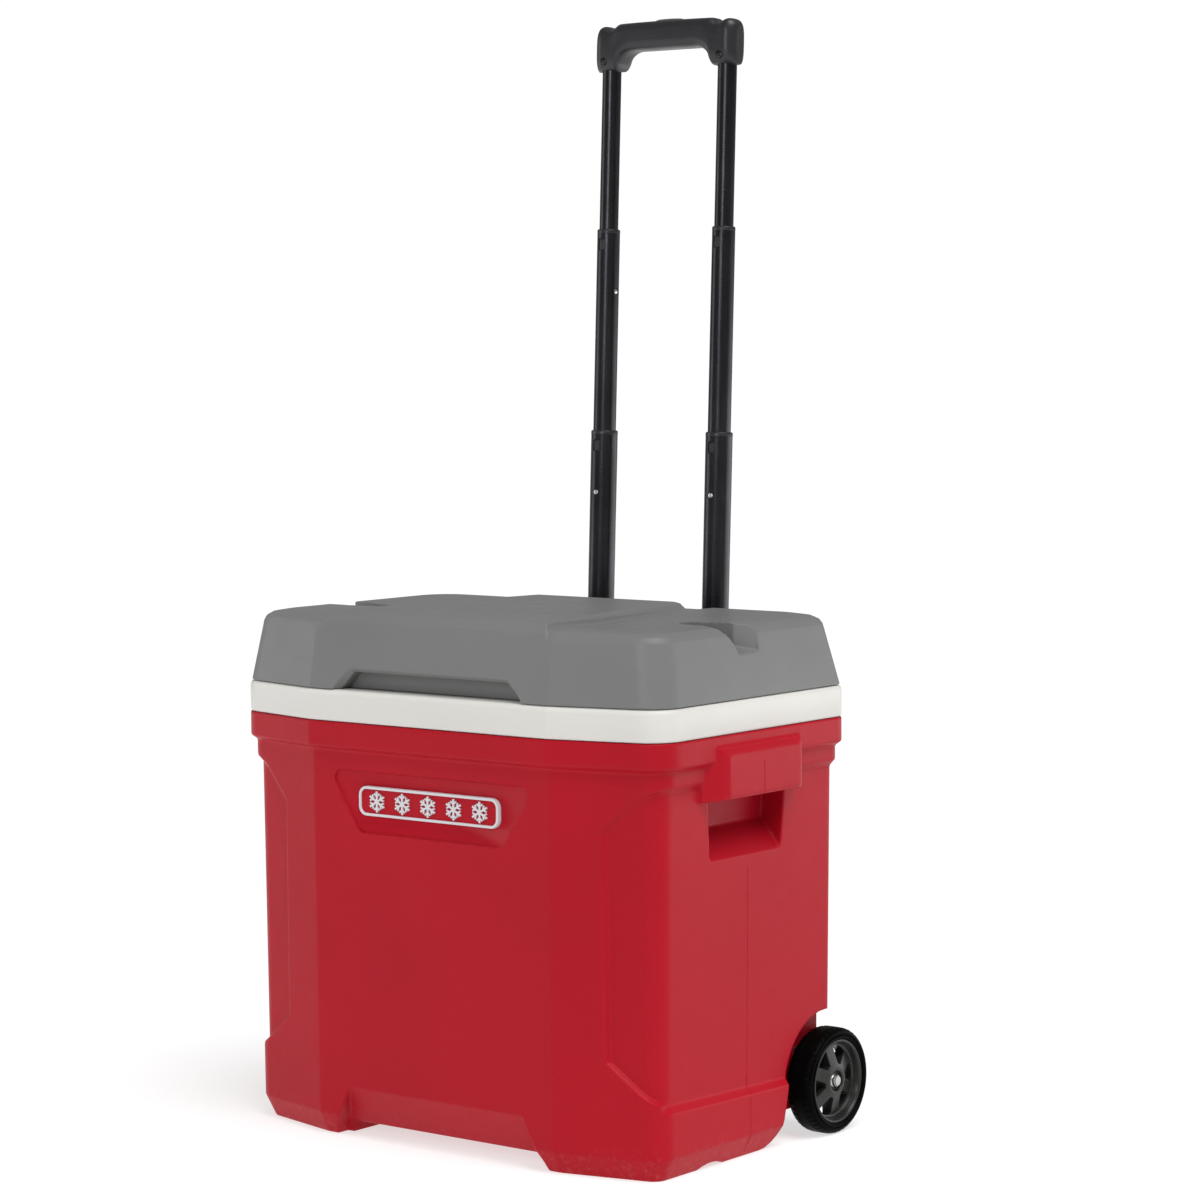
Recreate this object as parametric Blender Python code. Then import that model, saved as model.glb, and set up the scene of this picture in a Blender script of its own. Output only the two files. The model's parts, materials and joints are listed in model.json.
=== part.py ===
"""Wheeled cooler chest with a hinged lid and a three-stage telescopic handle.

Frame: metres, +Z up, -Y is the front of the chest, +X its right-hand side seen
from the front.  The origin lies on the floor under the middle of the whole
object's box.  Lengths called y below are measured back from the front face of
the rim; Y0 turns them into frame coordinates.
"""
import bpy
import bmesh
import math
from mathutils import Vector, Matrix

# ---------------------------------------------------------------- dimensions
GAP = 0.0003                 # clearance between pieces that touch

# plan outline of the rim, seen from above
RIM_HALF_W = 0.230
FACET_HALF = 0.129           # half width of the middle front facet
CORNER_Y = 0.0245            # how far the two corner facets fall back
RIM_DEPTH = 0.290
R_FRONT = 0.030
R_REAR = 0.020
R_FACET = 0.012
OBJECT_DEPTH = 0.358914      # front of the rim to the back of the raised grip
Y0 = -OBJECT_DEPTH / 2.0

# levels above the floor
Z_BELLY = 0.010
Z_RIM_LOW = 0.3361           # lower edge of the red rim
Z_SPLIT = 0.3580             # red rim meets the white rim
Z_SEAT = 0.3848              # top of the white rim, where the lid sits
Z_SHOULDER = 0.4370          # top of the lid's sides
Z_DECK = 0.4470              # side decks of the lid
Z_TOP = 0.4510               # middle plateau of the lid
WALL = 0.003                 # moulded wall

RIM_STEP = 0.0055            # body set back under the rim
DRAFT = 0.0030
PANEL_DEPTH = 0.0045

# side grips and finger scoops
GRIP_Y = (0.1030, 0.2085)
GRIP_Z = (0.3040, 0.3495)
GRIP_OUT = 0.2370
SCOOP_Y = (0.0975, 0.2075)

# cavity
CUP_HALF_W = 0.1925
CUP_Y = (0.0360, 0.2385)
CUP_Z = 0.0440
CUP_WALL = 0.0025

# lid
LID_OPEN_DEG = 44.0
HINGE_Y = 0.2950
HINGE_Z = 0.3812
HINGE_X = 0.1500
NOTCH_Y = 0.2475
NOTCH_HALF = (0.1005, 0.1135)

# telescopic handle: s runs up the leaning tubes from the level of Z_SPLIT
HANDLE_Y = 0.3190
HANDLE_LEAN = math.atan(0.0441)
TUBE_X = 0.0641
SLEEVE_S = (-0.3000, 0.0080)
LOWER_S = (-0.0300, 0.2377)
MIDDLE_S = (0.2030, 0.4189)
UPPER_S = (0.3890, 0.5740)
GRIP_S = (0.5601, 0.5920, 0.6030)
R_SLEEVE = (0.0140, 0.0124)
R_LOWER = (0.0120, 0.0106)
R_MIDDLE = (0.01025, 0.0089)
R_UPPER = (0.0085, 0.0072)

# wheels
WHEEL_Y = 0.2700
WHEEL_R = 0.0455
WHEEL_X = (0.2070, 0.2320)
AXLE_R = 0.0040
ARCH_R = 0.0605
ARCH_X = 0.2030

# --------------------------------------------------------------- clean start
for old in list(bpy.data.objects):
    bpy.data.objects.remove(old, do_unlink=True)
for old in list(bpy.data.meshes):
    bpy.data.meshes.remove(old)


def colour(name, rgb, roughness, metallic=0.0):
    m = bpy.data.materials.new(name)
    m.use_nodes = True
    b = m.node_tree.nodes["Principled BSDF"]
    b.inputs["Base Color"].default_value = (rgb[0], rgb[1], rgb[2], 1.0)
    b.inputs["Roughness"].default_value = roughness
    b.inputs["Metallic"].default_value = metallic
    m.diffuse_color = (rgb[0], rgb[1], rgb[2], 1.0)
    return m


RED = colour("red_shell", (0.38, 0.012, 0.022), 0.50)
WHITE = colour("white_liner", (0.68, 0.66, 0.62), 0.42)
FOAM = colour("foam", (0.78, 0.66, 0.40), 0.95)
GREY = colour("grey_lid", (0.180, 0.187, 0.176), 0.52)
BLACK = colour("black_plastic", (0.016, 0.016, 0.018), 0.48)
TUBE = colour("black_tube", (0.012, 0.012, 0.014), 0.30, 0.6)
STEEL = colour("steel", (0.56, 0.57, 0.58), 0.28, 1.0)
TYRE = colour("tyre", (0.014, 0.014, 0.014), 0.82)


# ------------------------------------------------------------------- helpers
def at(x, y, z):
    """Frame coordinates of a point given with y measured from the front."""
    return Vector((x, y + Y0, z))


def offset(poly, d):
    """Shrink a counter-clockwise polygon by d (negative grows it)."""
    n = len(poly)
    out = []
    for i in range(n):
        p, c, q = Vector(poly[i - 1]), Vector(poly[i]), Vector(poly[(i + 1) % n])
        e1, e2 = (c - p).normalized(), (q - c).normalized()
        n1, n2 = Vector((-e1.y, e1.x)), Vector((-e2.y, e2.x))
        k = n1 + n2
        out.append(tuple(c + k * (d / (1.0 + n1.dot(n2)))))
    return out


def rounded(poly, radii, segs):
    """Counter-clockwise polygon with each corner replaced by an arc."""
    n = len(poly)
    out = []
    for i in range(n):
        c = Vector(poly[i])
        a = (Vector(poly[i - 1]) - c).normalized()
        b = (Vector(poly[(i + 1) % n]) - c).normalized()
        half = math.acos(max(-1.0, min(1.0, a.dot(b)))) / 2.0
        r = max(radii[i], 0.0008)
        mid = c + (a + b).normalized() * (r / math.sin(half))
        t1 = c + a * (r / math.tan(half))
        t2 = c + b * (r / math.tan(half))
        v1, v2 = t1 - mid, t2 - mid
        a1, a2 = math.atan2(v1.y, v1.x), math.atan2(v2.y, v2.x)
        da = (a2 - a1 + math.pi) % (2 * math.pi) - math.pi
        for k in range(segs[i] + 1):
            an = a1 + da * k / segs[i]
            out.append((mid.x + r * math.cos(an), mid.y + r * math.sin(an)))
    return out


RIM = [(-FACET_HALF, 0.0), (FACET_HALF, 0.0), (RIM_HALF_W, CORNER_Y),
       (RIM_HALF_W, RIM_DEPTH), (-RIM_HALF_W, RIM_DEPTH), (-RIM_HALF_W, CORNER_Y)]
SEGS = [2, 2, 5, 4, 4, 5]


def rim_ring(inset, z, rf=R_FRONT, rr=R_REAR):
    """The rim outline shrunk by inset, at height z."""
    p = offset(RIM, inset)
    radii = [R_FACET, R_FACET, max(rf - inset, 0.004), max(rr - inset, 0.004),
             max(rr - inset, 0.004), max(rf - inset, 0.004)]
    return [at(x, y, z) for x, y in rounded(p, radii, SEGS)]


def cup_ring(inset, z, r=0.026):
    """Outline of the food cavity's wall, shrunk by inset."""
    y1, y2 = CUP_Y
    p = [(-0.118, y1), (0.118, y1), (CUP_HALF_W, y1 + 0.0180),
         (CUP_HALF_W, y2), (-CUP_HALF_W, y2), (-CUP_HALF_W, y1 + 0.0180)]
    p = offset(p, inset)
    r = max(r - inset, 0.006)
    radii = [R_FACET, R_FACET, r, r, r, r]
    return [at(x, y, z) for x, y in rounded(p, radii, SEGS)]


def loft(rings):
    """Closed skin through rings of equal length, with flat end caps."""
    bm = bmesh.new()
    rows = [[bm.verts.new(p) for p in ring] for ring in rings]
    n = len(rows[0])
    for a, b in zip(rows, rows[1:]):
        for i in range(n):
            j = (i + 1) % n
            bm.faces.new((a[i], a[j], b[j], b[i]))
    bm.faces.new(list(reversed(rows[0])))
    bm.faces.new(rows[-1])
    bmesh.ops.recalc_face_normals(bm, faces=bm.faces[:])
    if bm.calc_volume(signed=True) < 0:
        bmesh.ops.reverse_faces(bm, faces=bm.faces[:])
    return bm


def prism(poly, axis, lo, hi):
    """Extrude a polygon along an axis.  poly holds (y, z), (x, z) or (x, y)."""
    def put(p, t):
        if axis == "X":
            return at(t, p[0], p[1])
        if axis == "Y":
            return at(p[0], t, p[1])
        return at(p[0], p[1], t)
    return loft([[put(p, lo) for p in poly], [put(p, hi) for p in poly]])


def box(x, y, z):
    return prism([(x[0], y[0]), (x[1], y[0]), (x[1], y[1]), (x[0], y[1])],
                 "Z", z[0], z[1])


def disc(r, n, phase=0.0):
    return [(r * math.cos(2 * math.pi * (i + phase) / n),
             r * math.sin(2 * math.pi * (i + phase) / n)) for i in range(n)]


def rod(axis, centre, r, lo, hi, n=16, phase=0.0):
    """Cylinder along an axis; centre holds the two other coordinates."""
    pts = [(centre[0] + a, centre[1] + b) for a, b in disc(r, n, phase)]
    return prism(pts, axis, lo, hi)


def turned(axis_pt, profile, n):
    """Ring turned about an X axis through axis_pt; profile holds (x, radius)."""
    bm = bmesh.new()
    m = len(profile)
    rows = []
    for i in range(n):
        t = 2 * math.pi * i / n
        rows.append([bm.verts.new(at(x, axis_pt[0] + r * math.cos(t),
                                     axis_pt[1] + r * math.sin(t)))
                     for x, r in profile])
    for i in range(n):
        a, b = rows[i], rows[(i + 1) % n]
        for k in range(m):
            j = (k + 1) % m
            bm.faces.new((a[k], a[j], b[j], b[k]))
    bmesh.ops.recalc_face_normals(bm, faces=bm.faces[:])
    if bm.calc_volume(signed=True) < 0:
        bmesh.ops.reverse_faces(bm, faces=bm.faces[:])
    return bm


def mirrored(bm):
    """The same shape on the other side of the chest."""
    out = bm.copy()
    bmesh.ops.scale(out, vec=Vector((-1, 1, 1)), verts=out.verts[:])
    bmesh.ops.reverse_faces(out, faces=out.faces[:])
    return out


EMPTIES = {}


def pivot(name, loc, rot=(0, 0, 0), parent=None):
    e = bpy.data.objects.new(name, None)
    bpy.context.scene.collection.objects.link(e)
    e.empty_display_size = 0.03
    m = Matrix.Translation(loc) @ Matrix.Rotation(rot[0], 4, "X")
    EMPTIES[name] = m
    if parent:
        e.parent = bpy.data.objects[parent]
        m = EMPTIES[parent].inverted() @ m
    e.location = m.to_translation()
    e.rotation_euler = m.to_euler()
    return e


def piece(name, bm, mat, parent=None, smooth=35.0, loc=None, local=False):
    """Turn a bmesh in frame coordinates into a named object.

    The object's origin is its parent pivot, or loc.  local=True means the
    bmesh is already written in the parent's own coordinates.
    """
    me = bpy.data.meshes.new(name)
    if parent:
        if not local:
            bmesh.ops.transform(bm, matrix=EMPTIES[parent].inverted(),
                                verts=bm.verts[:])
    else:
        loc = Vector(loc) if loc is not None else Vector((0, 0, 0))
        bmesh.ops.translate(bm, vec=-loc, verts=bm.verts[:])
    bm.to_mesh(me)
    bm.free()
    me.materials.append(mat)
    me.shade_smooth()
    me.set_sharp_from_angle(angle=math.radians(smooth))
    ob = bpy.data.objects.new(name, me)
    bpy.context.scene.collection.objects.link(ob)
    if parent:
        ob.parent = bpy.data.objects[parent]
    else:
        ob.location = loc
    return ob


def tool(name, bm, parent=None, local=False):
    """A shape that only cuts or joins others."""
    ob = piece(name, bm, RED, parent=parent, local=local)
    ob.hide_render = True
    ob.display_type = "WIRE"
    return ob


def apply_bool(ob, other, how):
    m = ob.modifiers.new(how.lower() + "_" + other.name, "BOOLEAN")
    m.operation = how
    m.object = other
    m.solver = "EXACT"
    return m


def cut(ob, *others):
    for o in others:
        apply_bool(ob, o, "DIFFERENCE")


def join(ob, *others):
    for o in others:
        apply_bool(ob, o, "UNION")


def pair(name, bm):
    """A tool on the right-hand side and its mirror copy on the left."""
    other = mirrored(bm)
    return tool(name + "_R", bm), tool(name + "_L", other)


# ------------------------------------------------- shapes shared by the shells
def scoop(grow):
    """Finger scoop under a side grip, seen along the side wall."""
    roof = GRIP_Z[0] + 0.0012
    p = [(0.2600, 0.2440), (0.2600, roof), (0.2180, roof),
         (0.2180, 0.3200), (0.1970, 0.3200), (0.1970, 0.2780),
         (0.2215, 0.2515)]
    p = offset(p, -grow)
    p[0] = (0.2600, p[6][1] - 0.004)
    p[1] = (0.2600, p[2][1])
    return prism(p, "Y", SCOOP_Y[0] - grow, SCOOP_Y[1] + grow)


def arch(grow):
    """Wheel arch in a rear corner."""
    return rod("X", (WHEEL_Y, WHEEL_R), ARCH_R + grow, ARCH_X - grow, 0.2600, 32, 0.20)


def carrier_bay(grow):
    """Space for the axle carrier under the rear of the chest."""
    return box((-ARCH_X - 0.001 - grow, ARCH_X + 0.001 + grow),
               (0.2430 - grow, 0.3100), (-0.0200, 0.0755 + grow))


def kick(grow):
    """Sloping recess between the two front feet."""
    def ring(half, back, z):
        return [at(-half - grow, -0.02, z), at(half + grow, -0.02, z),
                at(half + grow, back + grow, z), at(-half - grow, back + grow, z)]
    return loft([ring(0.1225, 0.0300, -0.0200), ring(0.1120, 0.0300, Z_BELLY + grow),
                 ring(0.0930, 0.0070, 0.0467 + grow)])


def heel(grow):
    """Raised underside behind the rear feet, curving down to them."""
    p = [(0.2040, 0.0240), (0.2001, 0.0140), (0.1935, 0.0055), (0.1861, 0.0012),
         (0.1740, -0.0010), (0.1740, -0.0300), (0.3200, -0.0300), (0.3200, 0.0240)]
    return prism(offset(p, -grow), "X", -0.26, 0.26)


def body_core(inset, low, high):
    """Inside of the red shell: the space the foam fills."""
    return loft([rim_ring(0.0205 + inset, low),
                 rim_ring(0.0165 + inset, 0.0240),
                 rim_ring(0.0135 + inset, 0.3330),
                 rim_ring(0.0110 + inset, 0.3380),
                 rim_ring(0.0110 + inset, high)])


# ---------------------------------------------------------------- red shell
shell = piece("body_shell", loft([
    rim_ring(0.0175, 0.0),
    rim_ring(RIM_STEP + DRAFT, 0.0190),
    rim_ring(RIM_STEP, Z_RIM_LOW - 0.0016),
    rim_ring(0.0, Z_RIM_LOW),
    rim_ring(0.0, Z_SPLIT - GAP)]), RED, loc=at(0, RIM_DEPTH / 2, 0))

# recessed corner panels, from the corner facets round to the rear
panel_window = [(0.1700, 0.0950), (0.2000, 0.0700), (0.2120, 0.0620),
                (0.2700, 0.0600), (0.2700, 0.3230), (0.2160, 0.3230),
                (0.1990, 0.3130), (0.1700, 0.2850)]
panel_R, panel_L = pair("panel", prism(panel_window, "Y", -0.03, 0.32))
panel_core = tool("panel_core", loft([rim_ring(0.0085 + PANEL_DEPTH, 0.0),
                                      rim_ring(RIM_STEP + PANEL_DEPTH, 0.3360)]))
cut(panel_R, panel_core)
cut(panel_L, panel_core)
cut(shell, panel_R, panel_L)


def side_grip():
    """Raised grip block on the side wall, with sloping ends."""
    def ring(x, y0, y1, z0, z1):
        return [at(x, y0, z0), at(x, y1, z0), at(x, y1, z1), at(x, y0, z1)]
    y0, y1 = GRIP_Y
    z0, z1 = GRIP_Z
    return loft([ring(0.2080, y0 - 0.0200, y1 + 0.0120, z0, z1 + 0.0006),
                 ring(0.2230, y0 - 0.0185, y1 + 0.0110, z0, z1 + 0.0003),
                 ring(0.2300, y0 - 0.0083, y1 + 0.0062, z0, z1),
                 ring(GRIP_OUT, y0, y1, z0 + 0.0020, z1 - 0.0060)])


grip_R, grip_L = pair("side_grip", side_grip())
join(shell, grip_R, grip_L)
cut(shell, *pair("scoop", scoop(0.0)))

# nameplate pocket on the front facet
plate = [(-0.0770, 0.2648), (0.0770, 0.2648), (0.1103, 0.3166), (-0.1103, 0.3166)]
plate_pts = rounded(plate, [0.010, 0.010, 0.007, 0.007], [3, 3, 3, 3])
cut(shell, tool("plate_pocket", prism(plate_pts, "Y", -0.02, 0.0078)))

# underside: kick recess, belly between the feet, cross groove, wheel bay
cut(shell, tool("kick", kick(0.0)))
cut(shell, tool("belly", box((-0.1090, 0.1090), (0.0150, 0.3100), (-0.0200, Z_BELLY))))
cut(shell, tool("foot_gap", prism([(0.0940, -0.02), (0.1230, -0.02),
                                   (0.1180, 0.0035), (0.0990, 0.0035)],
                                  "X", -0.26, 0.26)))
cut(shell, tool("carrier_bay", carrier_bay(0.0)))
cut(shell, *pair("arch", arch(0.0)))
cut(shell, tool("heel", heel(0.0)))
cut(shell, *pair("heel_side", prism([(0.2098, 0.0480), (0.2036, 0.0225), (0.2200, 0.0225),
                                     (0.2200, 0.0480)], "X", ARCH_X, 0.26)))

# hollow inside, kept one wall away from every recess
hollow = tool("hollow", body_core(0.0, Z_BELLY + WALL, 0.3700))
cut(hollow, *pair("scoop_wall", scoop(WALL)))
cut(hollow, tool("bay_wall", carrier_bay(WALL)))
cut(hollow, *pair("arch_wall", arch(WALL)))
cut(hollow, tool("kick_wall", kick(WALL)))
cut(hollow, tool("heel_wall", heel(WALL)))
cut(hollow, *pair("heel_side_wall", box((ARCH_X - WALL, 0.26), (0.2000, 0.2300), (0.0000, 0.0510))))
cut(shell, hollow)

# --------------------------------------------------------------------- foam
foam = piece("body_foam", body_core(GAP, Z_BELLY + WALL + GAP, Z_SPLIT - GAP),
             FOAM, loc=at(0, RIM_DEPTH / 2, 0))
cut(foam, *pair("scoop_foam", scoop(WALL + GAP)))
cut(foam, tool("bay_foam", carrier_bay(WALL + GAP)))
cut(foam, *pair("arch_foam", arch(WALL + GAP)))
cut(foam, tool("kick_foam", kick(WALL + GAP)))
cut(foam, tool("heel_foam", heel(WALL + GAP)))
cut(foam, *pair("heel_side_foam", box((ARCH_X - WALL - GAP, 0.26), (0.1997, 0.2300), (0.0000, 0.0513))))
cut(foam, tool("cup_space", loft([cup_ring(0.0110 - GAP, CUP_Z - GAP),
                                  cup_ring(-GAP, Z_SPLIT),
                                  cup_ring(-GAP, 0.3700)])))

# -------------------------------------------------------------- white liner
liner = piece("inner_liner", loft([
    cup_ring(0.0110, CUP_Z),
    cup_ring(0.0, Z_SPLIT),
    rim_ring(0.0020, Z_SPLIT),
    rim_ring(0.0, Z_SPLIT + 0.0006),
    rim_ring(0.0, Z_SEAT - 0.0030),
    rim_ring(0.0022, Z_SEAT - 0.0002),
    rim_ring(0.0045, Z_SEAT),
    cup_ring(-0.0020, Z_SEAT),
    cup_ring(CUP_WALL, Z_SEAT - 0.0045),
    cup_ring(0.0110 + CUP_WALL, CUP_Z + CUP_WALL + 0.003),
    cup_ring(0.0150 + CUP_WALL, CUP_Z + CUP_WALL)]), WHITE,
    loc=at(0, RIM_DEPTH / 2, 0))


# ---------------------------------------------------------------------- lid
pivot("lid_axis", at(0, HINGE_Y, HINGE_Z))


def lid_ring(inset, back, z, grown, t):
    """Outline of the lid: inset at the front and sides, back at the rear, moved inwards by t."""
    p = [(x, y + (inset - back if y > 0.2 else 0.0)) for x, y in RIM]
    p = offset(p, inset + t)
    rf, rr = 0.0285 - t, 0.0185 + grown - t
    return [at(x, y, z) for x, y in rounded(p, [R_FACET, R_FACET, rf, rr, rr, rf], SEGS)]


def lean(z):
    """Inset of the lid's leaning front and sides at height z."""
    return 0.0015 + 0.1700 * (z - 0.3851)


def lean_back(z):
    """Inset of the lid's leaning rear wall at height z."""
    return 0.0015 + 0.1415 * (z - 0.3851)


def lid_form(t, low):
    """Outer form of the lid, moved inwards by t."""
    return loft([lid_ring(lean(low), lean_back(low), low, 0.1450 * (low - 0.3851), t),
                 lid_ring(lean(Z_SHOULDER), lean_back(Z_SHOULDER), Z_SHOULDER - 0.4 * t, 0.0075, t),
                 lid_ring(0.0122, 0.0110, 0.4410 - 0.8 * t, 0.0080, t),
                 lid_ring(0.0165, 0.0160, 0.4440 - t, 0.0085, t),
                 lid_ring(0.0260, 0.0260, 0.4458 - t, 0.0090, t),
                 lid_ring(0.0450, 0.0450, 0.4456 - t, 0.0090, t),
                 lid_ring(0.0850, 0.0850, 0.4440 - t, 0.0090, t)])


def plateau(t):
    """Raised middle of the lid, wide at the front and narrow at the rear."""
    def ring(f, y0, r, y1, z):
        return [at(-f, y0, z), at(f, y0, z), at(r, y1, z), at(-r, y1, z)]
    return loft([ring(0.1212 - t, 0.0130 + t, 0.0930 - t, 0.2700 - t, 0.4240 - t),
                 ring(0.1217 - t, 0.0096 + t, 0.0905 - t, 0.2700 - t, 0.4340 - t),
                 ring(0.1222 - t, 0.0108 + t, 0.0885 - t, 0.2700 - t, 0.4423 - t),
                 ring(0.1174 - t, 0.0178 + t, 0.0790 - t, 0.2640 - t, 0.4498 - t),
                 ring(0.1130 - t, 0.0250 + t, 0.0740 - t, 0.2560 - t, Z_TOP - t)])


def rear_notch(grow):
    """Hand room at the back of the lid, in front of the stowed grip."""
    a, b = NOTCH_HALF
    return prism([(-a - grow, NOTCH_Y - grow), (a + grow, NOTCH_Y - grow),
                  (b + grow, 0.3050), (-b - grow, 0.3050)], "Z", 0.3600, 0.4800)


def pull(grow):
    """Finger recess along the front edge of the lid."""
    w = 0.083 + grow
    return prism([(-w - 0.0155, 0.3600), (w + 0.0155, 0.3600),
                  (w + 0.0155, 0.3852), (w, 0.4005 + grow),
                  (-w, 0.4005 + grow), (-w - 0.0155, 0.3852)],
                 "Y", -0.02, 0.0200 + grow)


def tie_down(grow):
    """Cord groove across one side deck: a long run-in, a steep flared rear wall, open at the side."""
    def ring(y, x, z0, z1):
        return [at(x - grow, y, z0 - grow), at(0.2500, y, z1 - grow), at(0.2500, y, 0.4800),
                at(x - grow, y, 0.4800)]
    g = 1.4 * grow
    return loft([ring(0.1120 - g, 0.1660, 0.4490, 0.4455), ring(0.1240 - g, 0.1630, 0.4480, 0.4365),
                 ring(0.1310 - g, 0.1610, 0.4472, 0.4272), ring(0.1360 - g, 0.1600, 0.4465, 0.4180),
                 ring(0.1395 - grow, 0.1595, 0.4460, 0.4116), ring(0.1430 + grow, 0.1595, 0.4460, 0.4116),
                 ring(0.1495 + grow, 0.2080, 0.4275, 0.4116), ring(0.1660 + grow, 0.2195, 0.4231, 0.4116)])


lid_shell = piece("lid_shell", lid_form(0.0, Z_SEAT + GAP), GREY, parent="lid_axis")
join(lid_shell, tool("plateau", plateau(0.0)))
cut(lid_shell, tool("rear_notch", rear_notch(0.0)))
cut(lid_shell, tool("pull", pull(0.0)))
cut(lid_shell, *pair("tie_down", tie_down(0.0)))
lid_hollow = tool("lid_hollow", lid_form(WALL, 0.3700))
cut(lid_hollow, tool("notch_wall", rear_notch(WALL)))
cut(lid_hollow, tool("pull_wall", pull(WALL)))
cut(lid_hollow, *pair("tie_wall", tie_down(WALL)))
cut(lid_shell, lid_hollow)

lid_foam = piece("lid_foam", lid_form(WALL + GAP, Z_SEAT + 0.0034), FOAM,
                 parent="lid_axis")
cut(lid_foam, tool("notch_foam", rear_notch(WALL + GAP)))
cut(lid_foam, tool("pull_foam", pull(WALL + GAP)))
cut(lid_foam, *pair("tie_foam", tie_down(WALL + 6 * GAP)))

lid_liner = piece("lid_liner", loft([
    cup_ring(0.0110, 0.3740),
    cup_ring(0.0060, 0.3770),
    cup_ring(0.0045, Z_SEAT + GAP),
    rim_ring(0.0060, Z_SEAT + GAP),
    rim_ring(0.0060, Z_SEAT + 0.0030)]), WHITE, parent="lid_axis")
cut(lid_liner, tool("notch_liner", rear_notch(WALL + GAP)))
cut(lid_liner, tool("pull_liner", pull(WALL + GAP)))


# ------------------------------------------------------------------- hinges
def hinge_x(lo, hi, side):
    return (HINGE_X + lo, HINGE_X + hi) if side > 0 else (-HINGE_X - hi, -HINGE_X - lo)


def screw(axis, a, b, seat, sign, head_r, head_h, shank_r, length, n=10):
    """Pan head screw along an axis; seat is where its head rests."""
    steps = [(-length, shank_r * 0.6), (-length + 0.0015, shank_r), (0.0, shank_r),
             (0.0, head_r), (head_h * 0.55, head_r), (head_h, head_r * 0.6)]
    rings = []
    for d, r in steps:
        t = seat + sign * d
        pts = disc(r, n)
        if axis == "Y":
            rings.append([at(a + p, t, b + q) for p, q in pts])
        else:
            rings.append([at(t, a + p, b + q) for p, q in pts])
    return loft(rings)


for tag, side in (("right", 1), ("left", -1)):
    x0, x1 = hinge_x(-0.0245, 0.0245, side)
    k0, k1 = hinge_x(-0.0080, 0.0080, side)
    # leaf on the body, with the middle knuckle
    leaf = piece("hinge_body_leaf_" + tag,
                 box((x0, x1), (RIM_DEPTH + GAP, RIM_DEPTH + 0.0023), (0.3430, 0.3762)),
                 BLACK, loc=at(side * HINGE_X, HINGE_Y, HINGE_Z))
    join(leaf, tool("knuckle_body_" + tag,
                    prism([(0.2906, 0.3720), (0.2923, 0.3720), (0.2975, 0.3770),
                           (0.2990, 0.3795), (0.2992, 0.3812), (0.2990, 0.3828),
                           (0.2975, 0.3846), (0.2950, 0.3854), (0.2925, 0.3846),
                           (0.2910, 0.3830), (0.2906, 0.3812)], "X", k0, k1)))
    bore = tool("hinge_bore_" + tag, rod("X", (HINGE_Y, HINGE_Z), 0.0021, x0 - 0.01, x1 + 0.01, 12))
    cut(leaf, bore)
    # leaf on the lid, with the two outer knuckles
    web = [(0.2891, 0.3858), (0.2908, 0.3834), (0.2912, 0.3796), (0.2928, 0.3776),
           (0.2950, 0.3770), (0.2972, 0.3776), (0.2988, 0.3796), (0.2990, 0.3822),
           (0.2972, 0.3850), (0.2918, 0.3880), (0.2871, 0.4155), (0.2849, 0.4150)]
    lid_leaf = piece("hinge_lid_leaf_" + tag, prism(web, "X", x0, x1), BLACK,
                     parent="lid_axis")
    cut(lid_leaf, tool("knuckle_gap_" + tag,
                       box((k0 - 0.0004, k1 + 0.0004), (0.2800, 0.3050), (0.3700, 0.3893))))
    cut(lid_leaf, bore)
    piece("hinge_pin_" + tag, rod("X", (HINGE_Y, HINGE_Z), 0.0017, x0 + 0.0002, x1 - 0.0002, 12),
          STEEL, loc=at(side * HINGE_X, HINGE_Y, HINGE_Z))
    # one screw through each leaf
    body_hole = tool("body_hole_" + tag, rod("Y", (side * HINGE_X, 0.3520), 0.0021, 0.2700, 0.2990, 12))
    cut(leaf, body_hole)
    cut(shell, body_hole)
    cut(foam, body_hole)
    piece("hinge_body_screw_" + tag,
          screw("Y", side * HINGE_X, 0.3520, 0.2926, 1, 0.0038, 0.0018, 0.0018, 0.0120),
          STEEL, loc=at(side * HINGE_X, 0.2926, 0.3520))
    lid_hole = tool("lid_hole_" + tag, rod("Y", (side * HINGE_X, 0.4040), 0.0021, 0.2700, 0.2990, 12))
    cut(lid_leaf, lid_hole)
    cut(lid_shell, lid_hole)
    cut(lid_foam, lid_hole)
    piece("hinge_lid_screw_" + tag,
          screw("Y", side * HINGE_X, 0.4040, 0.2901, 1, 0.0038, 0.0018, 0.0018, 0.0110),
          STEEL, parent="lid_axis")


# ------------------------------------------------------- telescopic handle
# local frame of the leaning tubes: x across, y back, s up the tubes
pivot("handle_axis", at(0, HANDLE_Y, Z_SPLIT), (-HANDLE_LEAN, 0, 0))


def stage_origin(s):
    return EMPTIES["handle_axis"] @ Vector((0, 0, s))


pivot("lower_stage", stage_origin(LOWER_S[0]), (-HANDLE_LEAN, 0, 0), "handle_axis")
pivot("middle_stage", stage_origin(MIDDLE_S[0]), (-HANDLE_LEAN, 0, 0), "lower_stage")
pivot("upper_stage", stage_origin(UPPER_S[0]), (-HANDLE_LEAN, 0, 0), "middle_stage")
pivot("button_axis", stage_origin(GRIP_S[2]), (-HANDLE_LEAN, 0, 0), "upper_stage")


def leaning(bm):
    """From the tubes' local frame into the object's frame."""
    bmesh.ops.transform(bm, matrix=EMPTIES["handle_axis"], verts=bm.verts[:])
    return bm


def ring_at(x, r, s, n=24, y=0.0):
    return [Vector((x + a, y + b, s)) for a, b in disc(r, n)]


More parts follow.
